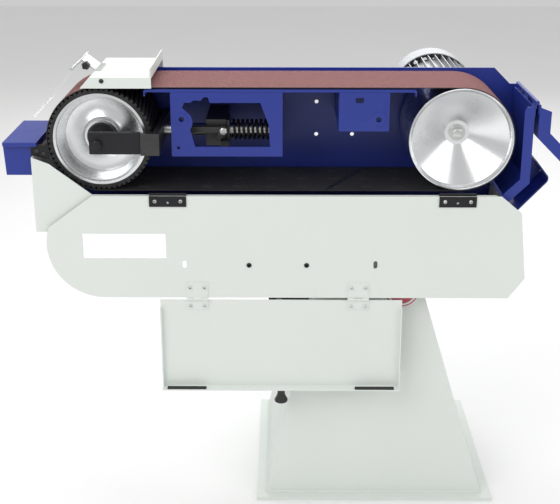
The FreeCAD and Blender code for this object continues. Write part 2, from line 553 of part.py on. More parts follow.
# ---- guard, shield and table at the contact wheel ----
guardBand = [("guard_r", "guard_z"), ("guard_r", "940"), ("guard_r - 2.5", "940"),
             ("guard_r - 2.5", "guard_z + 2.5"), ("guard_l", "guard_z + 2.5"), ("-573", "902.5"),
             ("-571", "901"), ("guard_l + 1.2", "guard_z")]
guardLip = [("guard_l", "guard_z"), ("-571", "902"), ("guard_r", "902"), ("guard_r", "guard_z + 2.5"),
            ("guard_l", "guard_z + 2.5")]
guardRear = [("guard_l", "guard_z + 2.5"), ("guard_l", "862"), ("guard_r", "862"), ("guard_r", "guard_z + 2.5")]
node(fuse("guard_sheet",
          sheetPiece("guard_band", "XZ", "guard_y", "plate_y + plate_t - guard_y", [guardBand]),
          sheetPiece("guard_lip", "XZ", "guard_y", "skin_t", [guardLip]),
          sheetPiece("guard_rear", "XZ", "plate_y + plate_t", "skin_t", [guardRear],
                     [("-540", "875", "3.2"), ("-460", "875", "3.2")])), "wheel_guard")

bracketLine = [("-543", "guard_z + 2.5"), ("-543", "guard_z + 5"), ("-554", "guard_z + 5"),
               ("-578", "944"), ("-587", "937"), ("-585.5", "935"), ("-578", "940.8"),
               ("-555", "guard_z + 2.5")]
node(fuse("shield_holder", sheetPiece("shield_strip", "XZ", "-150", "60", [bracketLine]),
          rod("shield_pin_rod", "y", "shield_x", "-201", "shield_z + 4", "2.5", "162")), "shield_bracket")
shieldSheet = doc.addObject("Part::Box", "shield_sheet")
shieldSheet.setExpression("Length", link("shield_len"))
shieldSheet.Width, shieldSheet.Height = 160, 3
shieldSheet.Placement = FreeCAD.Placement(FreeCAD.Vector(), FreeCAD.Rotation(FreeCAD.Vector(0, 1, 0), 129.6))
place(shieldSheet, "shield_x - 3.4", "-205", "shield_z + 2.3")
sleeves = [rod(f"shield_sleeve_{i}", "y", "shield_x", y, "shield_z + 4", "4.5", "46")
           for i, y in ((1, "-199"), (2, "-87"))]
shieldBore = rod("shield_bore", "y", "shield_x", "-210", "shield_z + 4", "2.55", "170")
node(cut("shield", fuse("shield_solid", shieldSheet, *sleeves), shieldBore), "eye_shield")
node(fuse("shield_screw", rod("shield_knob_grip", "y", "-569", "-168", "935", "8", "16"),
          rod("shield_knob_stem", "y", "-569", "-153", "935", "3", "3")), "shield_knob")

tableTop = box("table_top", "table_l", "table_r", "-210", "-45", "table_z - 4", "table_z")
tableLips = [box("table_front_lip", "table_l", "table_r", "-210", "-206", "table_z - 9", "table_z - 4"),
             box("table_rear_lip", "table_l", "table_r", "-49", "-45", "table_z - 9", "table_z - 4")]
node(fuse("table", tableTop, *tableLips), "work_table")
carrierPlate = sheetPiece("carrier_plate", "XY", "table_z - 7.5", "3",
                          [[("-728", "-202"), ("-676", "-202"), ("-676", "-53"), ("-728", "-53")]],
                          [("-702", "-170", "4", "12", False), ("-702", "-85", "4", "12", False)])
cheekLine = [("-676", "730"), ("-676", "table_z - 4.5"), ("-728", "table_z - 4.5"), ("-725", "730")]
node(fuse("carrier", carrierPlate,
          sheetPiece("carrier_front", "XZ", "-202", "3", [cheekLine]),
          sheetPiece("carrier_rear", "XZ", "-56", "3", [cheekLine]),
          box("carrier_foot", "-676", "house_l", "-202", "-53", "724", "table_z - 4.5")), "table_bracket")
tableScrews = [fuse(f"table_screw_{i}", rod(f"table_shank_{i}", "z", "-702", y, "table_z - 14", "3", "10"),
                    hexagon(f"table_head_{i}", "z", "-702", y, "table_z - 19", "13", "6"))
               for i, y in ((1, "-170"), (2, "-85"))]

# ---- door, hung open from the hinge line ----
def doorAt(down):
    return f"hinge_z - {down}"


doorLine = [("-560", doorAt(2)), (f"{wheelX} - 103.8", doorAt(66.6), "110", 1), (wheelX, doorAt("door_h")),
            ("247", doorAt("door_h")), ("277", doorAt(171)), ("262", doorAt(36)), ("222", doorAt(2))]
doorWindow = [("-583", doorAt(131)), ("-422", doorAt(131)), ("-422", doorAt(79)), ("-583", doorAt(79))]
doorHoles = [doorWindow, ("-387", doorAt(143), "4", "4"), ("-15", doorAt(143), "4", "4"),
             ("-261", doorAt(144), "2.6"), ("-149", doorAt(144), "2.6")]
node(sheetPiece("door_sheet", "XZ", "door_y", "skin_t", [doorLine], doorHoles), "door")

handleGrip = rod("handle_grip", "x", "-261", "door_y + 36", doorAt(144), "8", "112")
handlePosts = [rod(f"handle_post_{x}", "y", f"-{x}", "door_y + skin_t", doorAt(144), "8", "33.5")
               for x in (261, 149)]
node(fuse("handle", handleGrip, *handlePosts), "door_handle")
handleScrews = [rod(f"handle_screw_{x}", "y", f"-{x}", "door_y - 3", doorAt(144), "5", "3") for x in (261, 149)]

hingeStarts = ("-451", "103")
hingeLong = 71
fixedLeaves, movingLeaves, backingPlates, leafScrews = [], [], [], []
for i, left in enumerate(hingeStarts):
    third = (hingeLong - 1) / 3
    knuckles = [rod(f"hinge_{i}_knuckle_{k}", "x", f"{left} + {k * (third + 0.5)}", "hinge_y", "hinge_z", "3",
                    str(third)) for k in range(3)]
    pin = rod(f"hinge_{i}_pin", "x", left, "hinge_y", "hinge_z", "1.4", str(hingeLong))
    fixedLeaves.append(fuse(f"hinge_{i}_fixed",
                            box(f"hinge_{i}_leaf", left, f"{left} + {hingeLong}", "wall_y - 1.6", "wall_y",
                                "hinge_z - 22", "hinge_z - 3.2"), knuckles[0], knuckles[2], pin,
                            *[box(f"hinge_{i}_neck_{k}", f"{left} + {k * (third + 0.5)}",
                                  f"{left} + {k * (third + 0.5) + third}", "wall_y - 1.6", "wall_y",
                                  "hinge_z - 3.3", "hinge_z") for k in (0, 2)]))
    movingLeaves.append(cut(f"hinge_{i}_moving",
                            fuse(f"hinge_{i}_swing",
                                 box(f"hinge_{i}_wing", left, f"{left} + {hingeLong}", "door_y + skin_t",
                                     "door_y + skin_t + 1.6", "hinge_z - 22", "hinge_z - 3.5"), knuckles[1],
                                 box(f"hinge_{i}_web", f"{left} + {third + 0.5}", f"{left} + {2 * third + 0.5}",
                                     "door_y + skin_t", "door_y + skin_t + 1.6", "hinge_z - 3.6", "hinge_z")),
                            rod(f"hinge_{i}_bore", "x", f"{left} - 1", "hinge_y", "hinge_z", "1.5",
                                str(hingeLong + 2))))
    backingPlates.append(sheetPiece(f"hinge_{i}_backing", "XZ", "door_y - 2", "2",
                                    [[(left, "hinge_z - 23"), (f"{left} + 71", "hinge_z - 23"),
                                      (f"{left} + 71", "hinge_z - 2"), (f"{left}", "hinge_z - 2")]],
                                    [(f"{left} + 35.5", "hinge_z - 15", "2.5")]))
    leafScrews += [rod(f"hinge_{i}_screw_{x}", "y", f"{left} + {x}", "door_y - 4.5", "hinge_z - 12", "4", "2.5")
                   for x in (11, 60)]
node(group("fixed_leaves", *fixedLeaves), "housing_hinge_leaves")
node(group("moving_leaves", *movingLeaves, *backingPlates), "door_hinge_leaves")
node(group("leaf_screws", *leafScrews, *handleScrews), "door_screws")

# ---- flap, hung from the door's lower edge ----
flapTop, flapEnd = "(flap_axis_z - 2.5)", "(flap_axis_z - flap_len)"
flapPlate = box("flap_plate", "flap_l", "flap_r", "door_y", "door_y + skin_t", flapEnd, flapTop)
flapSides = [box(f"flap_side_{i}", x0, x1, "door_y - flap_side", "door_y", flapEnd, f"{flapTop} - 14")
             for i, (x0, x1) in enumerate((("flap_l", "flap_l + skin_t"), ("flap_r - skin_t", "flap_r")))]
flapLip = box("flap_lip_strip", "flap_l", "flap_r", "door_y - flap_lip", "door_y", flapEnd, f"{flapEnd} + skin_t")
node(fuse("flap_sheet", flapPlate, *flapSides, flapLip), "flap")
magnets = [box(f"magnet_{i}", x, f"{x} + 78", "door_y - flap_lip + 1", "door_y - flap_lip + 9",
               f"{flapEnd} + skin_t", f"{flapEnd} + skin_t + 3") for i, x in enumerate(("-427", "-50"))]
node(group("magnet_set", *magnets), "flap_magnets")
pullProfile = [("0", "0"), ("10", "0"), ("7.5", "4"), ("7.5", "10"), ("8", "16"), ("13.5", "26"),
               ("13.5", "30"), ("0", "30")]
pull = startBody("pull")
pullSketch = startSketch(pull, "pull_profile", "XZ")
loop(pullSketch, [(a, f"-{d}") for a, d in reversed(pullProfile)])
pullTurn = pull.newObject("PartDesign::Revolution", "pull_turn")
pullTurn.Profile = pullSketch
pullTurn.ReferenceAxis = (pullSketch, ["V_Axis"])
place(pull, "(flap_l + flap_r) / 2", "door_y - flap_lip + 14", flapEnd)
doc.recompute()
node(pull, "flap_knob")

flapHinges = {"door": [], "flap": []}
for i, middle in enumerate(("-363", "-47")):
    left = f"({middle} - 21)"
    third = (42 - 1) / 3
    knuckles = [rod(f"flap_{i}_knuckle_{k}", "x", f"{left} + {k * (third + 0.5)}", "flap_axis_y - 1", "flap_axis_z",
                    "2.5", str(third)) for k in range(3)]
    pin = rod(f"flap_{i}_pin", "x", left, "flap_axis_y - 1", "flap_axis_z", "1.1", "42")
    upper = box(f"flap_{i}_upper", left, f"{left} + 42", "door_y - 1.5", "door_y", "flap_axis_z + 3",
                "flap_axis_z + 35")
    ears = [box(f"flap_{i}_ear_{k}", f"{left} + {k * (third + 0.5)}", f"{left} + {k * (third + 0.5) + third}",
                "door_y - 1.5", "door_y", "flap_axis_z", "flap_axis_z + 3.1") for k in (0, 2)]
    lower = box(f"flap_{i}_lower", left, f"{left} + 42", "door_y - 1.5", "door_y", "flap_axis_z - 22",
                "flap_axis_z - 3")
    tongue = box(f"flap_{i}_tongue", f"{left} + {third + 0.5}", f"{left} + {2 * third + 0.5}", "door_y - 1.5",
                 "door_y", "flap_axis_z - 3.1", "flap_axis_z")
    screws = {part: [rod(f"flap_{i}_{part}_screw_{k}", "y", f"{middle} + {k}", "door_y - 3.5", z, "3.2", "2.2")
                     for k in (-14, 14)] for part, z in (("door", "flap_axis_z + 25"), ("flap", "flap_axis_z - 14"))}
    flapHinges["door"].append(fuse(f"flap_{i}_door_leaf", upper, *ears, knuckles[0], knuckles[2], pin,
                                   *screws["door"]))
    flapHinges["flap"].append(cut(f"flap_{i}_flap_leaf",
                                  fuse(f"flap_{i}_leaf_solid", lower, tongue, knuckles[1], *screws["flap"]),
                                  rod(f"flap_{i}_bore", "x", f"{left} - 1", "flap_axis_y - 1", "flap_axis_z",
                                      "1.2", "44")))
node(group("flap_upper_leaves", *flapHinges["door"]), "flap_hinge_upper")
node(group("flap_lower_leaves", *flapHinges["flap"]), "flap_hinge_lower")

# ---- end cover, swung open ----
coverX = "(cover_x + 4)"
elbow = "(cover_z - cover_first)"
reach = "cover_second * 0.7071"
coverBand = [(coverX, "cover_z - 4"), (coverX, elbow), (f"{coverX} + {reach}", f"{elbow} - {reach}"),
             (f"{coverX} + 1.77 + {reach}", f"{elbow} + 1.77 - {reach}"),
             (f"{coverX} + skin_t", f"{elbow} + 1.04"), (f"{coverX} + skin_t", "cover_z - 4")]
coverRim = [(coverX, "cover_z - 8"), (coverX, elbow), (f"{coverX} + {reach}", f"{elbow} - {reach}"),
            (f"{coverX} + 16.3 + {reach}", f"{elbow} + 16.3 - {reach}"),
            (f"{coverX} + cover_rim", f"{elbow} + 9.5"), (f"{coverX} + cover_rim", "cover_z - 17")]
coverSheet = [sheetPiece("cover_band", "XZ", "-206.5", "175", [coverBand]),
              sheetPiece("cover_front", "XZ", "-206.5", "skin_t", [coverRim])]

knuckleStep, knuckleLong = 34, 33.5
knuckleSpans = [(f"knuckle_y + {k * knuckleStep}", f"knuckle_y + {k * knuckleStep + knuckleLong}")
                for k in range(5)]
coverKnuckles = [rod(f"cover_knuckle_{k}", "y", "cover_x", knuckleSpans[k][0], "cover_z", "3.5",
                     str(knuckleLong))
                 for k in range(5)]
coverPin = rod("cover_pin", "y", "cover_x", "knuckle_y", "cover_z", "1.6", "169.5")
fixedSide = [box(f"cover_tab_{k}", "cover_x - 2.5", "cover_x - 0.9", *knuckleSpans[k],
                 "cover_z - 12", "cover_z") for k in (0, 2, 4)]
fixedLeaf = box("cover_fixed_leaf", "276.5", "278.1", "knuckle_y", "-33.5", "846", "865")
fixedBend = [box(f"cover_bend_{k}", "276.5", "cover_x - 0.9", *knuckleSpans[k],
                 "cover_z - 12", "cover_z - 9") for k in (0, 2, 4)]
node(fuse("cover_leaf_fixed", fixedLeaf, *fixedBend, *fixedSide, coverKnuckles[0], coverKnuckles[2],
          coverKnuckles[4], coverPin), "cover_hinge_fixed")
movingSide = [box(f"cover_flag_{k}", "cover_x + 1", "cover_x + 4", *knuckleSpans[k],
                  "cover_z - 22", "cover_z") for k in (1, 3)]
coverLeaf = cut("cover_leaf_moving",
                fuse("cover_leaf_solid", box("cover_moving_leaf", "cover_x + 2.4", "cover_x + 4", "knuckle_y", "-33.5",
                                             "cover_z - 22", "cover_z - 5"), *movingSide, coverKnuckles[1],
                     coverKnuckles[3]),
                rod("cover_leaf_bore", "y", "cover_x", "-210", "cover_z", "1.7", "190"))
node(fuse("cover_weldment", *coverSheet, coverLeaf), "end_cover")

# ---- small screws that hold the sheet metal ----
def buttonScrew(name, x, y, z):
    return rod(name, "y", x, f"({y}) - 2.4", z, "4.5", "2.4")


panelSpots = [("-532", "guard_y", "916"), ("-664", "belt_y - 5", "778"), ("-651", "belt_y - 5", "772")]
panelScrews = [buttonScrew(f"panel_screw_{i}", *spot) for i, spot in enumerate(panelSpots)]
node(group("fixing_screw_set", *panelScrews, *tableScrews, leverBolt), "fixing_screws")

# ---- check every object, then write the pieces ----
doc.recompute()
faults = [thing.Name for thing in doc.Objects if "Invalid" in thing.State or "Error" in thing.State]
faults += [thing.Label for thing in nodes if thing.Shape.isNull() or not thing.Shape.isValid()]
if faults:
    raise RuntimeError(f"these objects failed: {faults}")

os.makedirs("parts", exist_ok=True)
for thing in nodes:
    thing.Shape.exportStep(f"parts/{thing.Label}.step")
print(len(nodes), "pieces written")
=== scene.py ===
import json
import math
import random

import bmesh
import bpy
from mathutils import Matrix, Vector


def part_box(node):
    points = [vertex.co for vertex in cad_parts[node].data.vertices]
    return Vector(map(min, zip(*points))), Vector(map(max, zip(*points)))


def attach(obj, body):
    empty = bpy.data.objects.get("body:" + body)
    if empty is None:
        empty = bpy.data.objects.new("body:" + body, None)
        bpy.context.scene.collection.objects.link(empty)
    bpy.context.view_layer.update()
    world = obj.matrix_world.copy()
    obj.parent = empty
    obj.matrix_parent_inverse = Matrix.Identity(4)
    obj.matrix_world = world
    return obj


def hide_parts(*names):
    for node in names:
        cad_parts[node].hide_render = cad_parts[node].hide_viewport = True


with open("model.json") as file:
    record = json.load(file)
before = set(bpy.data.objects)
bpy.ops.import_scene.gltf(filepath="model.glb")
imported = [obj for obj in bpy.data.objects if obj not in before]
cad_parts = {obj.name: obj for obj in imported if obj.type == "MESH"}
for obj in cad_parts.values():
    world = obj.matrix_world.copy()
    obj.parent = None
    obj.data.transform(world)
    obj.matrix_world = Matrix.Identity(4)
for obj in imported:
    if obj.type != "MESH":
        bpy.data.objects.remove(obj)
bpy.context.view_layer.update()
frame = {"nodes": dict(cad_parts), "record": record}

nodes = frame["nodes"]
print("loaded", len(nodes), "pieces")


class Wire:
    # one output of a shader node, so that shader maths reads as sums
    def __init__(self, finish, socket):
        self.finish = finish
        self.socket = socket

    def sum(self, operation, first, second):
        return self.finish.node("ShaderNodeMath", {"operation": operation}, {0: first, 1: second})

    def __add__(self, other):
        return self.sum("ADD", self, other)

    def __radd__(self, other):
        return self.sum("ADD", other, self)

    def __sub__(self, other):
        return self.sum("SUBTRACT", self, other)

    def __rsub__(self, other):
        return self.sum("SUBTRACT", other, self)

    def __mul__(self, other):
        return self.sum("MULTIPLY", self, other)

    def __rmul__(self, other):
        return self.sum("MULTIPLY", other, self)

    def __truediv__(self, other):
        return self.sum("DIVIDE", self, other)

    def __gt__(self, other):
        return self.sum("GREATER_THAN", self, other)

    def __lt__(self, other):
        return self.sum("LESS_THAN", self, other)


class Finish:
    # one material: a Principled shader whose sockets take numbers, colours or Wires
    def __init__(self, name, **constants):
        self.material = bpy.data.materials.new(name)
        self.material.use_nodes = True
        self.tree = self.material.node_tree
        self.shader = self.tree.nodes["Principled BSDF"]
        self.set(**constants)

    def node(self, kind, settings=None, sockets=None, output=0):
        made = self.tree.nodes.new(kind)
        for key, value in (settings or {}).items():
            if key == "stops":
                ramp = made.color_ramp
                while len(ramp.elements) < len(value):
                    ramp.elements.new(0.5)
                for element, (place, colour) in zip(ramp.elements, value):
                    element.position, element.color = place, colour
            else:
                setattr(made, key, value)
        for key, value in (sockets or {}).items():
            self.feed(made.inputs[key], value)
        return Wire(self, made.outputs[output])

    def feed(self, socket, value):
        if isinstance(value, Wire):
            self.tree.links.new(value.socket, socket)
        else:
            socket.default_value = value

    def set(self, **values):
        # baseColor -> "Base Color"
        for key, value in values.items():
            label = "".join(" " + c if c.isupper() else c for c in key).title().replace("Ior", "IOR")
            self.feed(self.shader.inputs[label], value)
        return self

    def place(self):
        return self.node("ShaderNodeTexCoord", output="Object")

    def axes(self):
        split = self.node("ShaderNodeSeparateXYZ", None, {0: self.place()})
        return [Wire(self, split.socket.node.outputs[i]) for i in range(3)]

    def noise(self, scale, detail=2.0, roughness=0.5, at=None, distortion=0.0):
        return self.node("ShaderNodeTexNoise", None, {
            "Vector": at or self.place(), "Scale": scale, "Detail": detail, "Roughness": roughness,
            "Distortion": distortion})

    def stretched(self, x, y, z):
        return self.node("ShaderNodeVectorMath", {"operation": "MULTIPLY"}, {0: self.place(), 1: (x, y, z)})

    def ramp(self, value, *stops):
        greys = [(place, (level, level, level, 1)) for place, level in stops]
        return self.node("ShaderNodeValToRGB", {"stops": greys}, {0: value})

    def blend(self, factor, first, second):
        return self.node("ShaderNodeMix", {"data_type": "RGBA"}, {0: factor, 6: first, 7: second}, output=2)

    def bump(self, height, strength, distance):
        self.set(normal=self.node("ShaderNodeBump", None, {
            "Height": height, "Strength": strength, "Distance": distance}))
        return self


def rgb(r, g, b):
    return (r, g, b, 1.0)


# finishes
def powderCoat(name, colour, shade, grain, sheen=0.32):
    # sprayed and baked paint: orange peel and faint handling marks
    f = Finish(name)
    cloud = f.noise(5.0, 4.0, 0.6)
    marks = f.ramp(f.noise(28.0, 6.0, 0.75, f.stretched(1, 1, 0.35)), (0.52, 0.0), (0.74, 1.0))
    f.set(baseColor=f.blend(cloud, rgb(*colour), rgb(*shade)),
          roughness=sheen + 0.10 * cloud + 0.08 * marks, specularIorLevel=0.5)
    peel = f.noise(grain, 2.0, 0.5)
    return f.bump(peel + 0.25 * f.noise(grain * 5, 1.0), 0.16, 0.0004).material


def metal(name, colour, roughness, grain=(1, 1, 1), scale=300.0, strength=0.12, metallic=1.0, stain=0.25):
    # bare or blackened metal with fine scratches along its grain
    f = Finish(name, metallic=metallic)
    scratch = f.noise(scale, 3.0, 0.65, f.stretched(*grain))
    patch = f.ramp(f.noise(22.0, 4.0, 0.6), (0.35, 0.0), (0.75, 1.0))
    dark = tuple(c * (1 - stain) for c in colour)
    f.set(baseColor=f.blend(patch, rgb(*colour), rgb(*dark)),
          roughness=roughness + 0.14 * scratch + 0.08 * patch)
    return f.bump(scratch, strength, 0.0002).material


def turnedMetal(name, centre, colour, roughness, pitch, strength):
    # lathe-turned face: fine rings about an axis along Y, with a wandering tool mark
    f = Finish(name, metallic=1.0)
    x, y, z = f.axes()
    reach = f.node("ShaderNodeMath", {"operation": "SQRT"}, {
        0: (x - centre[0]) * (x - centre[0]) + (z - centre[1]) * (z - centre[1])})
    wander = f.noise(9.0, 2.0)
    rings = f.node("ShaderNodeMath", {"operation": "SINE"},
                   {0: (reach + 0.35 * y) * (math.tau / pitch) + 3.0 * wander})
    dust = f.ramp(f.noise(14.0, 5.0, 0.65), (0.45, 0.0), (0.8, 1.0))
    dull = tuple(c * 0.86 for c in colour)
    f.set(baseColor=f.blend(dust, rgb(*colour), rgb(*dull)),
          roughness=roughness + 0.03 * rings + 0.10 * dust)
    return f.bump(rings + 0.6 * f.noise(900.0, 1.0), strength, 0.00012).material


def moulded(name, colour, roughness, grain=700.0, strength=0.12):
    f = Finish(name)
    speck = f.noise(grain, 2.0)
    wear = f.ramp(f.noise(30.0, 5.0, 0.7), (0.5, 0.0), (0.85, 1.0))
    pale = tuple(min(c * 1.35 + 0.012, 1) for c in colour)
    f.set(baseColor=f.blend(wear, rgb(*colour), rgb(*pale)), roughness=roughness + 0.12 * speck)
    return f.bump(speck, strength, 0.0002).material


def gritCloth():
    # aluminium oxide grains in red-brown resin
    f = Finish("abrasiveGrit")
    grains = f.node("ShaderNodeTexVoronoi", {"feature": "F1"}, {"Vector": f.place(), "Scale": 620.0})
    bright = f.ramp(f.noise(1300.0, 2.0), (0.50, 0.0), (0.66, 1.0))
    pack = f.noise(16.0, 5.0, 0.65)
    body = f.blend(pack, rgb(0.132, 0.046, 0.045), rgb(0.190, 0.070, 0.068))
    f.set(baseColor=f.blend(bright, body, rgb(0.50, 0.27, 0.26)),
          roughness=0.78 + 0.14 * pack, specularIorLevel=0.3)
    return f.bump(grains * -1.0 + 0.5 * bright, 0.55, 0.0006).material


def backingCloth(stamp):
    # black polyester backing: a twill weave and rows of worn, blank grey stamps
    f = Finish("beltBacking")
    x, y, z = f.axes()
    warp = f.node("ShaderNodeMath", {"operation": "SINE"}, {0: (x + y) * 5200.0})
    weft = f.node("ShaderNodeMath", {"operation": "SINE"}, {0: (x - y) * 5200.0})
    worn = f.ramp(f.noise(160.0, 5.0, 0.75), (0.46, 0.0), (0.60, 1.0))
    along = f.node("ShaderNodeMath", {"operation": "FRACT"}, {0: x / stamp["pitch"] + 8.0})
    across = f.node("ShaderNodeMath", {"operation": "FRACT"}, {0: y / stamp["row"] + 8.0})
    bar = (along > 0.30) * (along < 0.62) * (across > 0.36) * (across < 0.52) * worn
    dusty = f.blend(f.noise(24.0, 5.0, 0.6), rgb(0.012, 0.012, 0.014), rgb(0.035, 0.034, 0.036))
    f.set(baseColor=f.blend(bar * 0.5, dusty, rgb(0.16, 0.165, 0.18)), roughness=0.62 + 0.18 * worn)
    return f.bump(warp * weft, 0.25, 0.0002).material


def tyreRubber():
    f = Finish("tyreRubber", specularIorLevel=0.4)
    dust = f.ramp(f.noise(60.0, 6.0, 0.7), (0.42, 0.0), (0.72, 1.0))
    f.set(baseColor=f.blend(dust, rgb(0.010, 0.010, 0.011), rgb(0.045, 0.043, 0.042)),
          roughness=0.55 + 0.25 * dust)
    return f.bump(f.noise(380.0, 3.0, 0.6), 0.35, 0.0004).material


def castAluminium(name, colour, roughness):
    f = Finish(name, metallic=1.0)
    skin = f.noise(420.0, 3.0, 0.6)
    grime = f.ramp(f.noise(18.0, 5.0, 0.7), (0.4, 0.0), (0.8, 1.0))
    f.set(baseColor=f.blend(grime, rgb(*colour), rgb(*[c * 0.72 for c in colour])),
          roughness=roughness + 0.16 * skin)
    return f.bump(skin, 0.30, 0.0005).material


def clearSheet():
    # polycarbonate: mostly clear, with hairline scratches
    f = Finish("clearSheet", baseColor=rgb(0.80, 0.88, 0.90), transmissionWeight=0.85, ior=1.5)
    scratch = f.ramp(f.noise(90.0, 5.0, 0.8, f.stretched(1, 0.2, 1)), (0.60, 0.0), (0.72, 1.0))
    return f.set(roughness=0.04 + 0.25 * scratch, alpha=0.20 + 0.25 * scratch).material


def badgeFace(centre, radius):
    # blank round badge: red field, white ring, red edge
    f = Finish("badgeFace", coatWeight=0.6)
    x, y, z = f.axes()
    reach = f.node("ShaderNodeMath", {"operation": "SQRT"}, {
        0: (x - centre[0]) * (x - centre[0]) + (z - centre[2]) * (z - centre[2])})
    ring = (reach > radius * 0.80) * (reach < radius * 0.92)
    ink = f.noise(120.0, 3.0)
    red = f.blend(ink, rgb(0.42, 0.016, 0.040), rgb(0.50, 0.030, 0.055))
    f.set(baseColor=f.blend(ring, red, rgb(0.82, 0.82, 0.82)), roughness=0.30 + 0.1 * ink)
    return f.bump(ring, 0.3, 0.0003).material


def pressedPowder(name, colour):
    # magnetic strip: extruded ribs along X in matt ferrite rubber
    f = Finish(name)
    x, y, z = f.axes()
    rib = f.node("ShaderNodeMath", {"operation": "SINE"}, {0: y * 4200.0})
    speck = f.noise(800.0, 2.0)
    f.set(baseColor=f.blend(speck, rgb(*colour), rgb(*[c * 1.8 for c in colour])),
          roughness=0.7 + 0.1 * speck)
    return f.bump(rib, 0.3, 0.0003).material


def paleFloor():
    f = Finish("paleFloor")
    cloud = f.noise(1.2, 4.0, 0.6)
    return f.set(baseColor=f.blend(cloud, rgb(0.88, 0.88, 0.88), rgb(0.92, 0.92, 0.915)),
                 roughness=0.75 + 0.1 * cloud).material


wheelCentre = (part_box("contact_wheel_hub")[0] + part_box("contact_wheel_hub")[1]) / 2
drumCentre = (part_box("drive_drum")[0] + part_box("drive_drum")[1]) / 2
badgeCentre = (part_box("stand_badge")[0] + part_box("stand_badge")[1]) / 2
badgeRadius = (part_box("stand_badge")[1].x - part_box("stand_badge")[0].x) / 2

paints = {
    "white": powderCoat("whitePaint", (0.735, 0.772, 0.735), (0.70, 0.74, 0.70), 900.0, 0.36),
    "blue": powderCoat("bluePaint", (0.016, 0.036, 0.285), (0.012, 0.028, 0.235), 700.0, 0.30),
    "grey": powderCoat("motorPaint", (0.52, 0.54, 0.55), (0.46, 0.48, 0.49), 800.0, 0.34),
}
metals = {
    "black": metal("blackOxide", (0.022, 0.022, 0.025), 0.38, scale=380.0, metallic=0.55),
    "dark": metal("darkSteel", (0.075, 0.073, 0.072), 0.34, scale=340.0, metallic=0.8),
    "bright": metal("brightSteel", (0.62, 0.62, 0.61), 0.24, (1, 0.15, 1), 420.0),
    "spring": metal("springWire", (0.020, 0.020, 0.022), 0.30, scale=500.0, metallic=0.6),
    "zinc": metal("zincPlate", (0.66, 0.68, 0.66), 0.28, (0.3, 1, 1), 260.0, stain=0.18),
    "drum": turnedMetal("turnedDrum", (drumCentre.x, drumCentre.z), (0.83, 0.84, 0.85), 0.20, 0.0011, 0.20),
    "hub": turnedMetal("turnedHub", (wheelCentre.x, wheelCentre.z), (0.80, 0.81, 0.82), 0.22, 0.0013, 0.22),
    "cast": castAluminium("castAluminium", (0.66, 0.67, 0.68), 0.38),
}
plastics = {
    "black": moulded("blackPlastic", (0.014, 0.014, 0.015), 0.38),
    "green": moulded("greenButton", (0.010, 0.22, 0.05), 0.28, 500.0, 0.06),
    "red": moulded("redButton", (0.46, 0.012, 0.014), 0.26, 500.0, 0.06),
    "magnet": pressedPowder("magnetStrip", (0.020, 0.020, 0.020)),
    "clear": clearSheet(),
    "badge": badgeFace(badgeCentre, badgeRadius),
}
rubber = tyreRubber()
grit = gritCloth()
backing = backingCloth({"pitch": 0.062, "row": 0.05})
print("finishes made")

coats = {
    paints["white"]: ["stand_column", "stand_base_plate", "lower_housing", "wheel_guard", "door", "flap",
                      "flap_hinge_upper", "flap_hinge_lower"],
    paints["blue"]: ["back_plate", "end_wall", "dust_deflector", "platen", "tension_bracket",
                     "platen_bracket",
                     "work_table", "table_bracket", "end_cover", "cover_hinge_fixed"],
    paints["grey"]: ["fan_cowl", "terminal_box"],
    metals["black"]: ["chute_side_plate", "front_arm", "rear_arm", "housing_hinge_leaves",
                      "door_hinge_leaves"],
    metals["dark"]: ["slide_guide", "spring_stop", "spring_plate", "tension_lever", "wheel_bearings",
                     "fork_cross_block"],
    metals["bright"]: ["dust_ports", "slide_bar", "wheel_axle", "axle_bolts", "drum_bolt", "motor_shaft",
                       "motor_bolts", "fixing_screws", "door_screws"],
    metals["spring"]: ["tension_spring"],
    metals["zinc"]: ["shield_bracket"],
    metals["drum"]: ["drive_drum"],
    metals["hub"]: ["contact_wheel_hub"],
    metals["cast"]: ["motor_flange", "motor_body"],
    rubber: ["contact_wheel_tyre"],
    grit: ["abrasive_belt"],
    plastics["black"]: ["switch_box", "tracking_knob", "cooling_fan", "cable_gland", "shield_knob",
                        "door_handle",
                        "flap_knob"],
    plastics["green"]: ["start_button"],
    plastics["red"]: ["stop_button"],
    plastics["magnet"]: ["flap_magnets"],
    plastics["clear"]: ["eye_shield"],
    plastics["badge"]: ["stand_badge"],
}
for coat, names in coats.items():
    for name in names:
        nodes[name].data.materials.clear()
        nodes[name].data.materials.append(coat)
coatOf = {name: coat for coat, names in coats.items() for name in names}
bodyOf = {name: body for body, names in frame["record"]["behaviour"]["bodies"].items() for name in names}

# mesh helpers
backwards = (0, 1, 0)
forwards = (0, -1, 0)
downwards = (0, 0, -1)


def finished(name, mesh, coat, body, *stands, smooth=40):
    # a mesh piece that rides on its body and stands for CAD pieces
    piece = bpy.data.objects.new(name, mesh)
    bpy.context.scene.collection.objects.link(piece)
    for one in coat if isinstance(coat, (list, tuple)) else [coat]:
        mesh.materials.append(one)
    for polygon in mesh.polygons:
        polygon.use_smooth = True
    mesh.set_sharp_from_angle(angle=math.radians(smooth))
    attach(piece, body)
    if stands:
        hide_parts(*stands)
    return piece


def meshFrom(bm, name):
    mesh = bpy.data.meshes.new(name)
    bmesh.ops.recalc_face_normals(bm, faces=bm.faces)
    bm.to_mesh(mesh)
    bm.free()
    return mesh


def applied(piece):
    # bakes the modifiers of a piece into its mesh
    graph = bpy.context.evaluated_depsgraph_get()
    mesh = bpy.data.meshes.new_from_object(piece.evaluated_get(graph))
    old = piece.data
    piece.modifiers.clear()
    piece.data = mesh
    bpy.data.meshes.remove(old)
    return piece


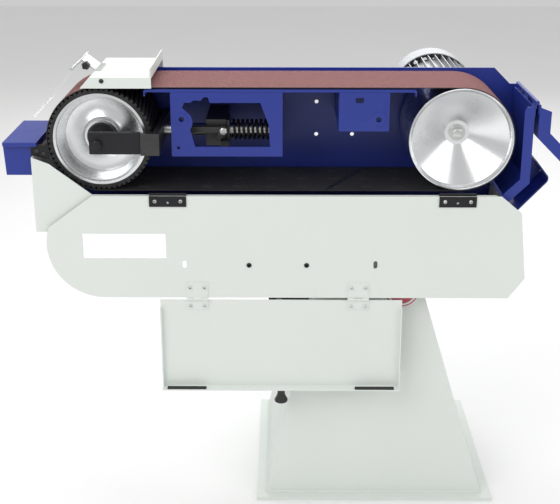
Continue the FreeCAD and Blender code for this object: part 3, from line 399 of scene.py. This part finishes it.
def softened(name, width=0.0006, segments=2, angle=30):
    # the same sheet or block with its sharp edges broken, as after deburring and paint
    bm = bmesh.new()
    bm.from_mesh(nodes[name].data)
    bmesh.ops.remove_doubles(bm, verts=bm.verts, dist=1e-6)
    bmesh.ops.dissolve_limit(bm, angle_limit=math.radians(1.0), verts=bm.verts, edges=bm.edges)
    piece = finished(name + "_finished", meshFrom(bm, name + "_soft"), coatOf[name], bodyOf[name], name)
    rounding = piece.modifiers.new("rounding", "BEVEL")
    rounding.width, rounding.segments, rounding.limit_method = width, segments, "ANGLE"
    rounding.angle_limit, rounding.harden_normals = math.radians(angle), True
    return applied(piece)


def turnedMesh(profile, centre, axis, steps=48):
    # a lathe shape: profile points are (along the axis, radius)
    bm = bmesh.new()
    axis = Vector(axis).normalized()
    side = axis.orthogonal().normalized()
    other = axis.cross(side)
    rings = []
    for along, radius in profile:
        base = Vector(centre) + axis * along
        if radius < 1e-6:
            rings.append([bm.verts.new(base)])
            continue
        rings.append([bm.verts.new(base + (side * math.cos(2 * math.pi * i / steps)
                                           + other * math.sin(2 * math.pi * i / steps)) * radius)
                      for i in range(steps)])
    for lower, upper in zip(rings, rings[1:]):
        for i in range(steps):
            j = (i + 1) % steps
            quad = [lower[i % len(lower)], lower[j % len(lower)], upper[j % len(upper)],
                    upper[i % len(upper)]]
            unique = [v for k, v in enumerate(quad) if v not in quad[:k]]
            if len(unique) > 2:
                bm.faces.new(unique)
    return bm


def shank(centre, axis, radius, length, steps=24):
    return turnedMesh([(0, 0), (0, radius), (length, radius), (length, 0)], centre, axis, steps)


def joined(*shapes):
    bm = bmesh.new()
    for shape in shapes:
        mesh = meshFrom(shape, "part")
        bm.from_mesh(mesh)
        bpy.data.meshes.remove(mesh)
    return bm


def socketHead(centre, axis, radius, height, socket):
    # a button-head screw with a hexagon socket
    bm = turnedMesh([(0, radius * 0.96), (height * 0.18, radius), (height * 0.55, radius * 0.88),
                     (height * 0.85, radius * 0.66), (height, radius * 0.50)], centre, axis, 24)
    axis = Vector(axis).normalized()
    rim = [e for e in bm.edges if e.is_boundary
           and (e.verts[0].co - Vector(centre)).dot(axis) > height * 0.9]
    side = axis.orthogonal().normalized()
    other = axis.cross(side)
    hexagon = [bm.verts.new(Vector(centre) + axis * height
                            + (side * math.cos(math.pi * k / 3) + other * math.sin(math.pi * k / 3)) * socket)
               for k in range(6)]
    floor = [bm.verts.new(v.co - axis * height * 0.6) for v in hexagon]
    sides = [bm.edges.new((hexagon[k], hexagon[(k + 1) % 6])) for k in range(6)]
    bmesh.ops.bridge_loops(bm, edges=rim + sides)
    for k in range(6):
        bm.faces.new((hexagon[k], hexagon[(k + 1) % 6], floor[(k + 1) % 6], floor[k]))
    bm.faces.new(floor)
    return bm


def hexHead(centre, axis, across, height, washer=0.0):
    # a hexagon head with its chamfered top and an optional washer under it
    reach = across / math.sqrt(3)
    top = turnedMesh([(0, reach), (height * 0.82, reach), (height, across / 2 * 0.92), (height, 0)],
                     centre, axis, 6)
    if not washer:
        return top
    return joined(top, turnedMesh([(-0.0005, washer * 0.98), (0.0, washer), (0.0010, washer),
                                   (0.0014, washer * 0.96),
                                   (0.0014, reach * 0.9)], Vector(centre) - Vector(axis) * 0.0016, axis,
                                  32))


print("helpers ready")

# sheet metal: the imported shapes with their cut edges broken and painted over
sheetEdges = {
    "stand_column": 0.0022, "stand_base_plate": 0.0014, "lower_housing": 0.0010, "wheel_guard": 0.0010,
    "door": 0.0007, "flap": 0.0006, "back_plate": 0.0010, "end_wall": 0.0010, "dust_deflector": 0.0008,
    "platen": 0.0008, "tension_bracket": 0.0009, "platen_bracket": 0.0009, "work_table": 0.0016,
    "table_bracket": 0.0009, "end_cover": 0.0010, "chute_side_plate": 0.0008, "front_arm": 0.0012,
    "rear_arm": 0.0012, "fork_cross_block": 0.0010, "spring_plate": 0.0008, "slide_guide": 0.0010,
    "spring_stop": 0.0008, "shield_bracket": 0.0006, "terminal_box": 0.0028, "eye_shield": 0.0006,
    "switch_box": 0.0024,
}
for name, width in sheetEdges.items():
    softened(name, width)
print("sheet metal softened")


def middle(name):
    low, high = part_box(name)
    return (low + high) / 2


def solidsOf(name):
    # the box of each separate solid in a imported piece, from left to right
    bm = bmesh.new()
    bm.from_mesh(nodes[name].data)
    bmesh.ops.remove_doubles(bm, verts=bm.verts, dist=1e-5)
    left, boxes = set(bm.verts), []
    while left:
        grown, edge = set(), [left.pop()]
        while edge:
            vert = edge.pop()
            grown.add(vert)
            for link in vert.link_edges:
                other = link.other_vert(vert)
                if other in left:
                    left.discard(other)
                    edge.append(other)
        spots = [v.co for v in grown]
        boxes.append((Vector([min(s[i] for s in spots) for i in range(3)]),
                      Vector([max(s[i] for s in spots) for i in range(3)])))
    bm.free()
    return sorted(boxes, key=lambda pair: pair[0].x)


# abrasive belt: grit outside, woven black cloth inside, one slanted splice
belt = {"thick": 0.0015, "arcSteps": 56, "spliceAt": -0.12, "spliceLean": 0.09, "spliceWide": 0.011,
        "tape": 0.00012}
low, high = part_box("abrasive_belt")
outer = (high.z - low.z) / 2
beltMiddle = (high.z + low.z) / 2
turns = [(low.x + outer, 0.5 + i / belt["arcSteps"]) for i in range(belt["arcSteps"] + 1)]
turns += [(high.x - outer, 1.5 + i / belt["arcSteps"]) for i in range(belt["arcSteps"] + 1)]
bm = bmesh.new()
loops = []
for centreX, turn in turns:
    angle = math.pi * turn
    loops.append([bm.verts.new((centreX + reach * math.cos(angle), y, beltMiddle + reach * math.sin(angle)))
                  for reach, y in ((outer - belt["thick"], low.y), (outer, low.y), (outer, high.y),
                                   (outer - belt["thick"], high.y))])
for first, second in zip(loops, loops[1:] + loops[:1]):
    for k in range(4):
        face = bm.faces.new((first[k], second[k], second[(k + 1) % 4], first[(k + 1) % 4]))
        face.material_index = 0 if k == 1 else 1
finished("grit_belt", meshFrom(bm, "grit_belt"), [grit, backing], "frame", "abrasive_belt", smooth=30)
bm = bmesh.new()
inside = beltMiddle - outer + belt["thick"]
for level in (inside, inside + belt["tape"]):
    for y, lean in ((low.y, 0.0), (high.y, belt["spliceLean"])):
        for side in (0, belt["spliceWide"]):
            bm.verts.new((belt["spliceAt"] + lean + side, y, level))
bmesh.ops.convex_hull(bm, input=bm.verts)
finished("belt_splice", meshFrom(bm, "belt_splice"), metals["dark"], "frame")

# contact wheel: slanted rubber lugs round a turned aluminium hub
tyre = {"lugs": 60, "slant": 0.22, "depth": 0.0040, "slices": 10, "land": 0.60, "wall": 0.06,
        "edge": 0.0012, "bore": 0.0902}
low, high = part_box("contact_wheel_tyre")
tread = (high.z - low.z) / 2
bm = bmesh.new()
rings = []
wide = high.y - low.y
widths = [(0.0, tyre["edge"])]
widths += [(tyre["edge"] + (wide - 2 * tyre["edge"]) * i / tyre["slices"], 0.0)
           for i in range(tyre["slices"] + 1)]
widths.append((wide, tyre["edge"]))
for along, inset in widths:
    ringVerts = []
    for lug in range(tyre["lugs"]):
        for share, radius in ((0, tread), (tyre["land"], tread),
                              (tyre["land"] + tyre["wall"], tread - tyre["depth"]),
                              (1 - tyre["wall"], tread - tyre["depth"])):
            angle = 2 * math.pi * (lug + share) / tyre["lugs"] + tyre["slant"] * along / wide
            ringVerts.append(bm.verts.new((wheelCentre.x + (radius - inset) * math.cos(angle),
                                           low.y + along,
                                           wheelCentre.z + (radius - inset) * math.sin(angle))))
    rings.append(ringVerts)
for y in (high.y, low.y):
    rings.append([bm.verts.new((wheelCentre.x + tyre["bore"] * math.cos(2 * math.pi * i / len(rings[0])), y,
                                wheelCentre.z + tyre["bore"] * math.sin(2 * math.pi * i / len(rings[0]))))
                  for i in range(len(rings[0]))])
for first, second in zip(rings, rings[1:] + rings[:1]):
    for i in range(len(first)):
        j = (i + 1) % len(first)
        bm.faces.new((first[i], first[j], second[j], second[i]))
finished("serrated_tyre", meshFrom(bm, "serrated_tyre"), rubber, "wheel", "contact_wheel_tyre", smooth=30)

hub = [(0.0004, 0.0893), (0.0010, 0.0899), (0.1470, 0.0899), (0.1476, 0.0893), (0.1480, 0.0845),
       (0.1465, 0.0838), (0.0500, 0.0806), (0.0445, 0.0770), (0.0425, 0.0680), (0.0415, 0.0400),
       (0.0430, 0.0345), (0.0970, 0.0340), (0.0975, 0.0330), (0.0975, 0.0240), (0.0965, 0.0236),
       (0.0215, 0.0236), (0.0210, 0.0242), (0.0210, 0.0325), (0.0222, 0.0338), (0.0300, 0.0372),
       (0.0335, 0.0430), (0.0360, 0.0560), (0.0362, 0.0660), (0.0345, 0.0715), (0.0240, 0.0760),
       (0.0080, 0.0812), (0.0030, 0.0822), (0.0012, 0.0834), (0.0000, 0.0842)]
low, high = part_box("contact_wheel_hub")
hubFront = (wheelCentre.x, low.y, wheelCentre.z)
bm = turnedMesh(hub + hub[:1], hubFront, backwards, 128)
finished("turned_hub", meshFrom(bm, "hub"), metals["hub"], "wheel", "contact_wheel_hub", smooth=25)
seal = [(0.0202, 0.0237), (0.0202, 0.0276), (0.0206, 0.0282), (0.0211, 0.0282), (0.0211, 0.0237)]
bm = turnedMesh(seal + seal[:1], hubFront, backwards, 96)
finished("bearing_seal", meshFrom(bm, "seal"), plastics["black"], "wheel", smooth=25)
bearing = [(0.0000, 0.0226), (0.0004, 0.0232), (0.0136, 0.0232), (0.0140, 0.0226), (0.0140, 0.0202),
           (0.0132, 0.0198), (0.0132, 0.0140), (0.0138, 0.0136), (0.0138, 0.0103), (0.0002, 0.0103),
           (0.0002, 0.0136), (0.0008, 0.0140), (0.0008, 0.0198), (0.0000, 0.0202)]
bm = joined(*[turnedMesh(bearing + bearing[:1], (wheelCentre.x, lowEnd.y, wheelCentre.z), backwards, 64)
              for lowEnd, highEnd in solidsOf("wheel_bearings")])
finished("sealed_bearings", meshFrom(bm, "bearings"), metals["black"], "wheel", "wheel_bearings", smooth=25)

# drive drum: a spun dish sunk into a turned barrel
drum = {"rim": 0.092, "eye": 0.024, "mouth": 0.010, "floor": 0.058, "curve": 0.92, "steps": 14}
cone = [(drum["floor"] - (drum["floor"] - drum["mouth"]) * (i / drum["steps"]) ** (1 / drum["curve"]),
         drum["eye"] + (drum["rim"] - drum["eye"]) * i / drum["steps"]) for i in range(drum["steps"] + 1)]
barrel = [(0.0005, 0.0992), (0.0013, 0.0999), (0.1547, 0.0999), (0.1555, 0.0992), (0.1560, 0.0925),
          (0.1548, 0.0918), (0.0800, 0.0882), (0.0755, 0.0850), (0.0742, 0.0310), (0.0750, 0.0300),
          (0.1232, 0.0300), (0.1240, 0.0292), (0.1240, 0.0142), (0.0680, 0.0142), (0.0680, 0.0072),
          (0.0580, 0.0072)] + cone
barrel += [(0.0096, 0.0925), (0.0088, 0.0929), (0.0050, 0.0940), (0.0008, 0.0967), (0.0000, 0.0973)]
low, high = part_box("drive_drum")
bm = turnedMesh(barrel + barrel[:1], (drumCentre.x, low.y, drumCentre.z), backwards, 128)
finished("spun_drum", meshFrom(bm, "drum"), metals["drum"], "rotor", "drive_drum", smooth=25)
drumScrew = {"head": 0.008, "across": 0.019, "washer": 0.016, "bore": 0.0072, "washerThick": 0.003,
             "edge": 0.0006}
low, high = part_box("drum_bolt")
seat = low.y + drumScrew["head"]
bm = hexHead((drumCentre.x, seat, drumCentre.z), forwards, drumScrew["across"], drumScrew["head"])
washer, thick = drumScrew["washer"], drumScrew["washerThick"]
ring = turnedMesh([(0, drumScrew["bore"]), (0, washer), (thick - drumScrew["edge"], washer),
                   (thick, washer * 0.96), (thick, drumScrew["bore"])],
                  (drumCentre.x, seat + thick, drumCentre.z), forwards, 48)
finished("drum_screw_and_washer", meshFrom(joined(bm, ring), "drum_screw"), metals["zinc"], "rotor",
         "drum_bolt")
print("belt, wheel and drum made")

# screws and bolts
screwSizes = {"leafScrew": 0.0040, "hex": 0.013, "hexTall": 0.006, "motorHex": 0.016, "motorTall": 0.0055,
              "axleHex": 0.017, "axleTall": 0.007, "axleWasher": 0.0118, "washerThick": 0.002,
              "pivotShank": 0.004, "tableShank": 0.003, "motorShank": 0.005, "buttonTall": 0.004,
              "pivotLong": 0.018, "dome": 0.0034, "domeTall": 0.0022, "domeSocket": 0.0014}
small, grips = [], []
for lowEnd, highEnd in solidsOf("door_screws"):
    centre = (lowEnd + highEnd) / 2
    centre.y = highEnd.y
    wide = (highEnd.x - lowEnd.x) / 2
    head = socketHead(centre, forwards, wide, highEnd.y - lowEnd.y, wide * 0.42)
    (grips if wide > screwSizes["leafScrew"] * 1.1 else small).append(head)
finished("hinge_screws", meshFrom(joined(*small), "hinge_screws"), metals["bright"], "door_leaf",
         "door_screws")
finished("handle_screws", meshFrom(joined(*grips), "handle_screws"), metals["black"], "door_leaf")

heads, panelHeads = [], []
for lowEnd, highEnd in solidsOf("fixing_screws"):
    centre = (lowEnd + highEnd) / 2
    size = highEnd - lowEnd
    if size.y < screwSizes["buttonTall"]:
        centre.y = highEnd.y
        panelHeads.append(socketHead(centre, forwards, size.x / 2, size.y, size.x * 0.2))
    elif size.y > screwSizes["pivotLong"]:
        centre.y = lowEnd.y + screwSizes["hexTall"]
        heads.append(hexHead(centre, forwards, screwSizes["hex"], screwSizes["hexTall"]))
        heads.append(shank(centre, backwards, screwSizes["pivotShank"], size.y - screwSizes["hexTall"]))
    else:
        centre.z = lowEnd.z + screwSizes["hexTall"]
        heads.append(hexHead(centre, downwards, screwSizes["hex"], screwSizes["hexTall"]))
        heads.append(shank(centre, (0, 0, 1), screwSizes["tableShank"], size.z - screwSizes["hexTall"]))
finished("table_and_lever_screws", meshFrom(joined(*heads), "table_screws"), metals["bright"], "frame",
         "fixing_screws")
finished("panel_screws", meshFrom(joined(*panelHeads), "panel_screws"), metals["dark"], "frame")

heads = []
for lowEnd, highEnd in solidsOf("motor_bolts"):
    centre = (lowEnd + highEnd) / 2
    centre.y = lowEnd.y + screwSizes["motorTall"]
    heads.append(hexHead(centre, forwards, screwSizes["motorHex"], screwSizes["motorTall"]))
    heads.append(shank(centre, backwards, screwSizes["motorShank"], highEnd.y - centre.y))
finished("motor_hex_bolts", meshFrom(joined(*heads), "motor_hex"), metals["zinc"], "frame", "motor_bolts")

low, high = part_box("axle_bolts")
armFace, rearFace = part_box("front_arm")[0].y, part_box("rear_arm")[1].y
front = hexHead((wheelCentre.x, armFace - screwSizes["washerThick"], wheelCentre.z), forwards,
                screwSizes["axleHex"], screwSizes["axleTall"], washer=screwSizes["axleWasher"])
rear = hexHead((wheelCentre.x, rearFace, wheelCentre.z), backwards, screwSizes["axleHex"], high.y - rearFace)
finished("axle_hex_bolts", meshFrom(joined(front, rear), "axle_hex"), metals["black"], "fork", "axle_bolts")
flapLeaf = {"fromTop": 0.010, "fromEnd": 0.008, "side": 0.014, "sunk": 0.0016}
for name, body in (("flap_hinge_upper", "door_leaf"), ("flap_hinge_lower", "flap_leaf")):
    domes = []
    for lowEnd, highEnd in solidsOf(name):
        z = highEnd.z - flapLeaf["fromTop"] if body == "door_leaf" else lowEnd.z + flapLeaf["fromEnd"]
        for side in (-flapLeaf["side"], flapLeaf["side"]):
            centre = ((lowEnd.x + highEnd.x) / 2 + side, lowEnd.y + flapLeaf["sunk"], z)
            domes.append(socketHead(centre, forwards, screwSizes["dome"], screwSizes["domeTall"],
                                    screwSizes["domeSocket"]))
    finished(name + "_screws", meshFrom(joined(*domes), name + "_screws"), metals["zinc"], body)
print("screws made")


# knobs, handle and magnets
def lobed(centre, axis, reach, lobes, waist, depth):
    # a hand knob with rounded lobes: its outline swells and shrinks round the axis
    bm = bmesh.new()
    axis = Vector(axis)
    side = axis.orthogonal().normalized()
    other = axis.cross(side)
    rings, steps = [], lobes * 12
    for along, scale in ((0, 0.82), (0.05, 0.93), (0.16, 1), (0.80, 1), (0.93, 0.94), (1, 0.80), (1, 0.42),
                         (0.93, 0.38), (0.93, 0.05)):
        ringVerts = []
        for i in range(steps):
            angle = 2 * math.pi * i / steps
            swell = (1 - waist + waist * math.cos(lobes * angle)) if scale > 0.5 else 1
            ringVerts.append(bm.verts.new(Vector(centre) + axis * depth * along + (
                side * math.cos(angle) + other * math.sin(angle)) * reach * scale * swell))
        rings.append(ringVerts)
    for first, second in zip(rings, rings[1:]):
        for i in range(steps):
            bm.faces.new((first[i], first[(i + 1) % steps], second[(i + 1) % steps], second[i]))
    bm.faces.new(rings[0])
    bm.faces.new(rings[-1])
    return bm


knob = {"reach": 0.0198, "grip": 0.022, "stem": 0.006, "stemLong": 0.010, "lobes": 6, "waist": 0.075}
low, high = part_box("tracking_knob")
centre = middle("tracking_knob")
grip = lobed((centre.x, high.y - knob["grip"], centre.z), backwards, knob["reach"], knob["lobes"],
             knob["waist"], knob["grip"])
stem = shank((centre.x, low.y, centre.z), backwards, knob["stem"], knob["stemLong"], 32)
finished("tracking_hand_knob", meshFrom(joined(grip, stem), "tracking"), plastics["black"], "tracker",
         "tracking_knob")
knob = {"reach": 0.0079, "grip": 0.0155, "stem": 0.003, "stemLong": 0.003, "lobes": 5, "waist": 0.08}
low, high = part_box("shield_knob")
centre = middle("shield_knob")
grip = lobed((centre.x, low.y + knob["grip"], centre.z), forwards, knob["reach"], knob["lobes"],
             knob["waist"], knob["grip"])
stem = shank((centre.x, high.y - knob["stemLong"], centre.z), backwards, knob["stem"], knob["stemLong"])
finished("shield_hand_knob", meshFrom(joined(grip, stem), "shield_hand"), plastics["black"], "frame",
         "shield_knob")

pull = [(0, 0), (0, 0.0095), (0.0008, 0.0100), (0.0030, 0.0080), (0.0060, 0.0074),
        (0.0110, 0.0075), (0.0160, 0.0083), (0.0210, 0.0105), (0.0255, 0.0130), (0.0275, 0.0135),
        (0.0292, 0.0132), (0.0300, 0.0120), (0.0292, 0.0095), (0.0285, 0)]
low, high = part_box("flap_knob")
bm = turnedMesh(pull, (middle("flap_knob").x, middle("flap_knob").y, high.z), downwards, 48)
finished("rubber_pull", meshFrom(bm, "pull"), plastics["black"], "flap_leaf", "flap_knob", smooth=50)


def rodAlong(name, points, radius, swell=None):
    # a round bar along a path, with its ends closed
    curve = bpy.data.curves.new(name, "CURVE")
    curve.dimensions, curve.bevel_depth, curve.bevel_resolution, curve.use_fill_caps = "3D", radius, 6, True
    spline = curve.splines.new("POLY")
    spline.points.add(len(points) - 1)
    for i, point in enumerate(points):
        spline.points[i].co = (*point, 1)
        spline.points[i].radius = swell(i) if swell else 1
    bar = bpy.data.objects.new(name, curve)
    bpy.context.scene.collection.objects.link(bar)
    mesh = bpy.data.meshes.new_from_object(bar)
    bpy.data.objects.remove(bar)
    return mesh


handle = {"radius": 0.0079, "bend": 0.014, "steps": 10, "end": 0.008}
low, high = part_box("door_handle")
lift, reachY, level = low.y, high.y - handle["radius"], middle("door_handle").z
leftX, rightX = low.x + handle["end"], high.x - handle["end"]
corner = [(handle["bend"] * (1 - math.cos(math.pi / 2 * i / handle["steps"])),
           handle["bend"] * math.sin(math.pi / 2 * i / handle["steps"]))
          for i in range(handle["steps"] + 1)]
path = [(leftX, lift, level)]
path += [(leftX + a, reachY - handle["bend"] + b, level) for a, b in corner]
path += [(rightX - a, reachY - handle["bend"] + b, level) for a, b in reversed(corner)]
path.append((rightX, lift, level))
finished("bow_handle", rodAlong("bow_handle", path, handle["radius"]), plastics["black"], "door_leaf",
         "door_handle")

strip = {"ribs": 6, "groove": 0.0005}
strips = []
for lowEnd, highEnd in solidsOf("flap_magnets"):
    bm = bmesh.new()
    outline = [(lowEnd.y, lowEnd.z), (highEnd.y, lowEnd.z)]
    outline += [(highEnd.y - (highEnd.y - lowEnd.y) * (k + share) / strip["ribs"], highEnd.z - dip)
                for k in range(strip["ribs"])
                for share, dip in ((0.0, strip["groove"]), (0.2, 0.0), (0.8, 0.0))]
    outline.append((lowEnd.y, highEnd.z - strip["groove"]))
    ends = [[bm.verts.new((x, y, z)) for y, z in outline] for x in (lowEnd.x, highEnd.x)]
    for i in range(len(outline)):
        j = (i + 1) % len(outline)
        bm.faces.new((ends[0][i], ends[0][j], ends[1][j], ends[1][i]))
    bm.faces.new(ends[0])
    bm.faces.new(ends[1])
    strips.append(bm)
finished("magnet_strips", meshFrom(joined(*strips), "magnets"), plastics["magnet"], "flap_leaf",
         "flap_magnets")

# switch buttons, their collars, the badge and the motor's terminal lid
flushCap = [(0, 0), (0, 0.0108), (0.0235, 0.0108), (0.0240, 0.0120), (0.0248, 0.0125), (0.0272, 0.0124),
            (0.0280, 0.0116), (0.0276, 0.0100), (0.0270, 0)]
domedCap = [(0, 0), (0, 0.0108), (0.0236, 0.0108), (0.0240, 0.0150), (0.0252, 0.0168), (0.0280, 0.0170),
            (0.0300, 0.0160), (0.0318, 0.0125), (0.0328, 0.0070), (0.0330, 0)]
collar = [(0, 0.0117), (0, 0.0148), (0.0016, 0.0146), (0.0024, 0.0136), (0.0024, 0.0117)]
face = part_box("switch_box")[0].y
for name, colour, body, shape in (("start_button", "green", "start_push", flushCap),
                                  ("stop_button", "red", "stop_push", domedCap)):
    low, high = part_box(name)
    centre = middle(name)
    cap = turnedMesh(shape, (centre.x, high.y, centre.z), forwards, 56)
    finished(name + "_cap", meshFrom(cap, name + "_cap"), plastics[colour], body, name, smooth=35)
    ring = turnedMesh(collar + collar[:1], (centre.x, face, centre.z), forwards, 56)
    finished(name + "_collar", meshFrom(ring, name + "_collar"), metals["zinc"], "frame")
low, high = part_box("stand_badge")
rimmed = [(0, 0), (0, badgeRadius), (0.0012, badgeRadius), (0.0016, badgeRadius * 0.98),
          (0.0016, badgeRadius * 0.92), (0.0020, badgeRadius * 0.91), (0.0020, badgeRadius * 0.81),
          (0.0016, badgeRadius * 0.80), (0.0016, 0)]
bm = turnedMesh(rimmed, (badgeCentre.x, high.y, badgeCentre.z), forwards, 72)
finished("round_badge", meshFrom(bm, "badge"), plastics["badge"], "frame", "stand_badge", smooth=25)

lid = {"lip": 0.004, "thick": 0.0032, "round": 0.006, "rim": 0.0012, "screwIn": 0.009, "screw": 0.0034,
       "screwTall": 0.0024, "socket": 0.0015}
low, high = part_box("terminal_box")
lidFace = low.z - lid["thick"]
bm = bmesh.new()
for x in (low.x - lid["lip"] / 2, high.x + lid["lip"] / 2):
    for y in (low.y - lid["lip"] / 2, high.y + lid["lip"] / 2):
        for z in (lidFace, low.z):
            bm.verts.new((x, y, z))
bmesh.ops.convex_hull(bm, input=bm.verts)
upright = [e for e in bm.edges if abs((e.verts[0].co - e.verts[1].co).z) > 1e-4]
bmesh.ops.bevel(bm, geom=upright, offset=lid["round"], segments=5, affect="EDGES")
rim = [e for e in bm.edges if max(v.co.z for v in e.verts) < lidFace + 1e-6 and e.calc_face_angle(0) > 0.5]
bmesh.ops.bevel(bm, geom=rim, offset=lid["rim"], segments=3, affect="EDGES")
corners = [socketHead((x, y, lidFace), downwards, lid["screw"], lid["screwTall"], lid["socket"])
           for x in (low.x + lid["screwIn"], high.x - lid["screwIn"])
           for y in (low.y + lid["screwIn"], high.y - lid["screwIn"])]
finished("terminal_lid", meshFrom(bm, "terminal_lid"), paints["grey"], "frame")
finished("terminal_lid_screws", meshFrom(joined(*corners), "lid_screws"), metals["zinc"], "frame")

# weld bead round the foot of the column
bead = {"radius": 0.0024, "pitch": 0.0035, "ripple": 0.16, "setBack": 0.012, "sink": 0.0006,
        "wander": 0.00025, "unevenness": 0.06}
low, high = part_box("stand_column")
columnFront, sink = low.y + bead["setBack"], bead["sink"]
loopCorners = [Vector((low.x, columnFront, low.z + sink)), Vector((high.x, columnFront, low.z + sink)),
               Vector((high.x, high.y, low.z + sink)), Vector((low.x, high.y, low.z + sink))]
random.seed(7)
for number, (start, end) in enumerate(zip(loopCorners, loopCorners[1:] + loopCorners[:1])):
    count = int((end - start).length / bead["pitch"])
    line = [start.lerp(end, i / count)
            + Vector((random.uniform(-1, 1), random.uniform(-1, 1), 0)) * bead["wander"]
            for i in range(count + 1)]
    mesh = rodAlong("bead", line, bead["radius"],
                    lambda i: 1 + bead["ripple"] * (i % 2)
                    + random.uniform(-bead["unevenness"], bead["unevenness"]))
    finished(f"weld_bead_{number}", mesh, paints["white"], "frame")
print("knobs, switches and small parts made")

# floor, light and camera
stage = {
    "floorSize": 14.0, "cameraAt": (-0.190, -2.0244, 1.319), "pitchDown": 17.5, "turnLeft": 0.344,
    "lens": 64.29, "shiftY": -0.1495, "sky": 0.60,
    # lamps: place, aim, size, watts
    "lamps": [((-1.9, -2.2, 2.7), (-0.2, -0.1, 0.7), 2.2, 39),
              ((2.2, -1.8, 2.3), (0.1, -0.1, 0.6), 1.8, 18),
              ((-0.2, 0.6, 3.2), (-0.2, -0.1, 0.8), 2.4, 45), ((0.2, 3.0, 1.9), (0, 0, 0.7), 2.0, 18)],
}
bm = bmesh.new()
bmesh.ops.create_grid(bm, x_segments=8, y_segments=8, size=stage["floorSize"] / 2)
floorPiece = bpy.data.objects.new("studioFloor", meshFrom(bm, "studioFloor"))
floorPiece.data.materials.append(paleFloor())
bpy.context.scene.collection.objects.link(floorPiece)

world = bpy.data.worlds.new("studio")
world.use_nodes = True
world.node_tree.nodes["Background"].inputs["Color"].default_value = rgb(1, 1, 1)
world.node_tree.nodes["Background"].inputs["Strength"].default_value = stage["sky"]
bpy.context.scene.world = world

for i, (place, aim, size, power) in enumerate(stage["lamps"]):
    lamp = bpy.data.objects.new(f"softBox{i}", bpy.data.lights.new(f"softBox{i}", "AREA"))
    lamp.data.shape, lamp.data.size, lamp.data.energy = "SQUARE", size, power
    lamp.location = place
    lamp.rotation_euler = (Vector(aim) - Vector(place)).to_track_quat("-Z", "Y").to_euler()
    bpy.context.scene.collection.objects.link(lamp)

camera = bpy.data.objects.new("camera", bpy.data.cameras.new("camera"))
camera.data.sensor_width, camera.data.lens = 36.0, stage["lens"]
camera.data.shift_y = stage["shiftY"]
camera.location = stage["cameraAt"]
camera.rotation_euler = (math.radians(90 - stage["pitchDown"]), 0, math.radians(stage["turnLeft"]))
bpy.context.scene.collection.objects.link(camera)
bpy.context.scene.camera = camera
bpy.context.scene.view_settings.view_transform = "Standard"
print("stage set")
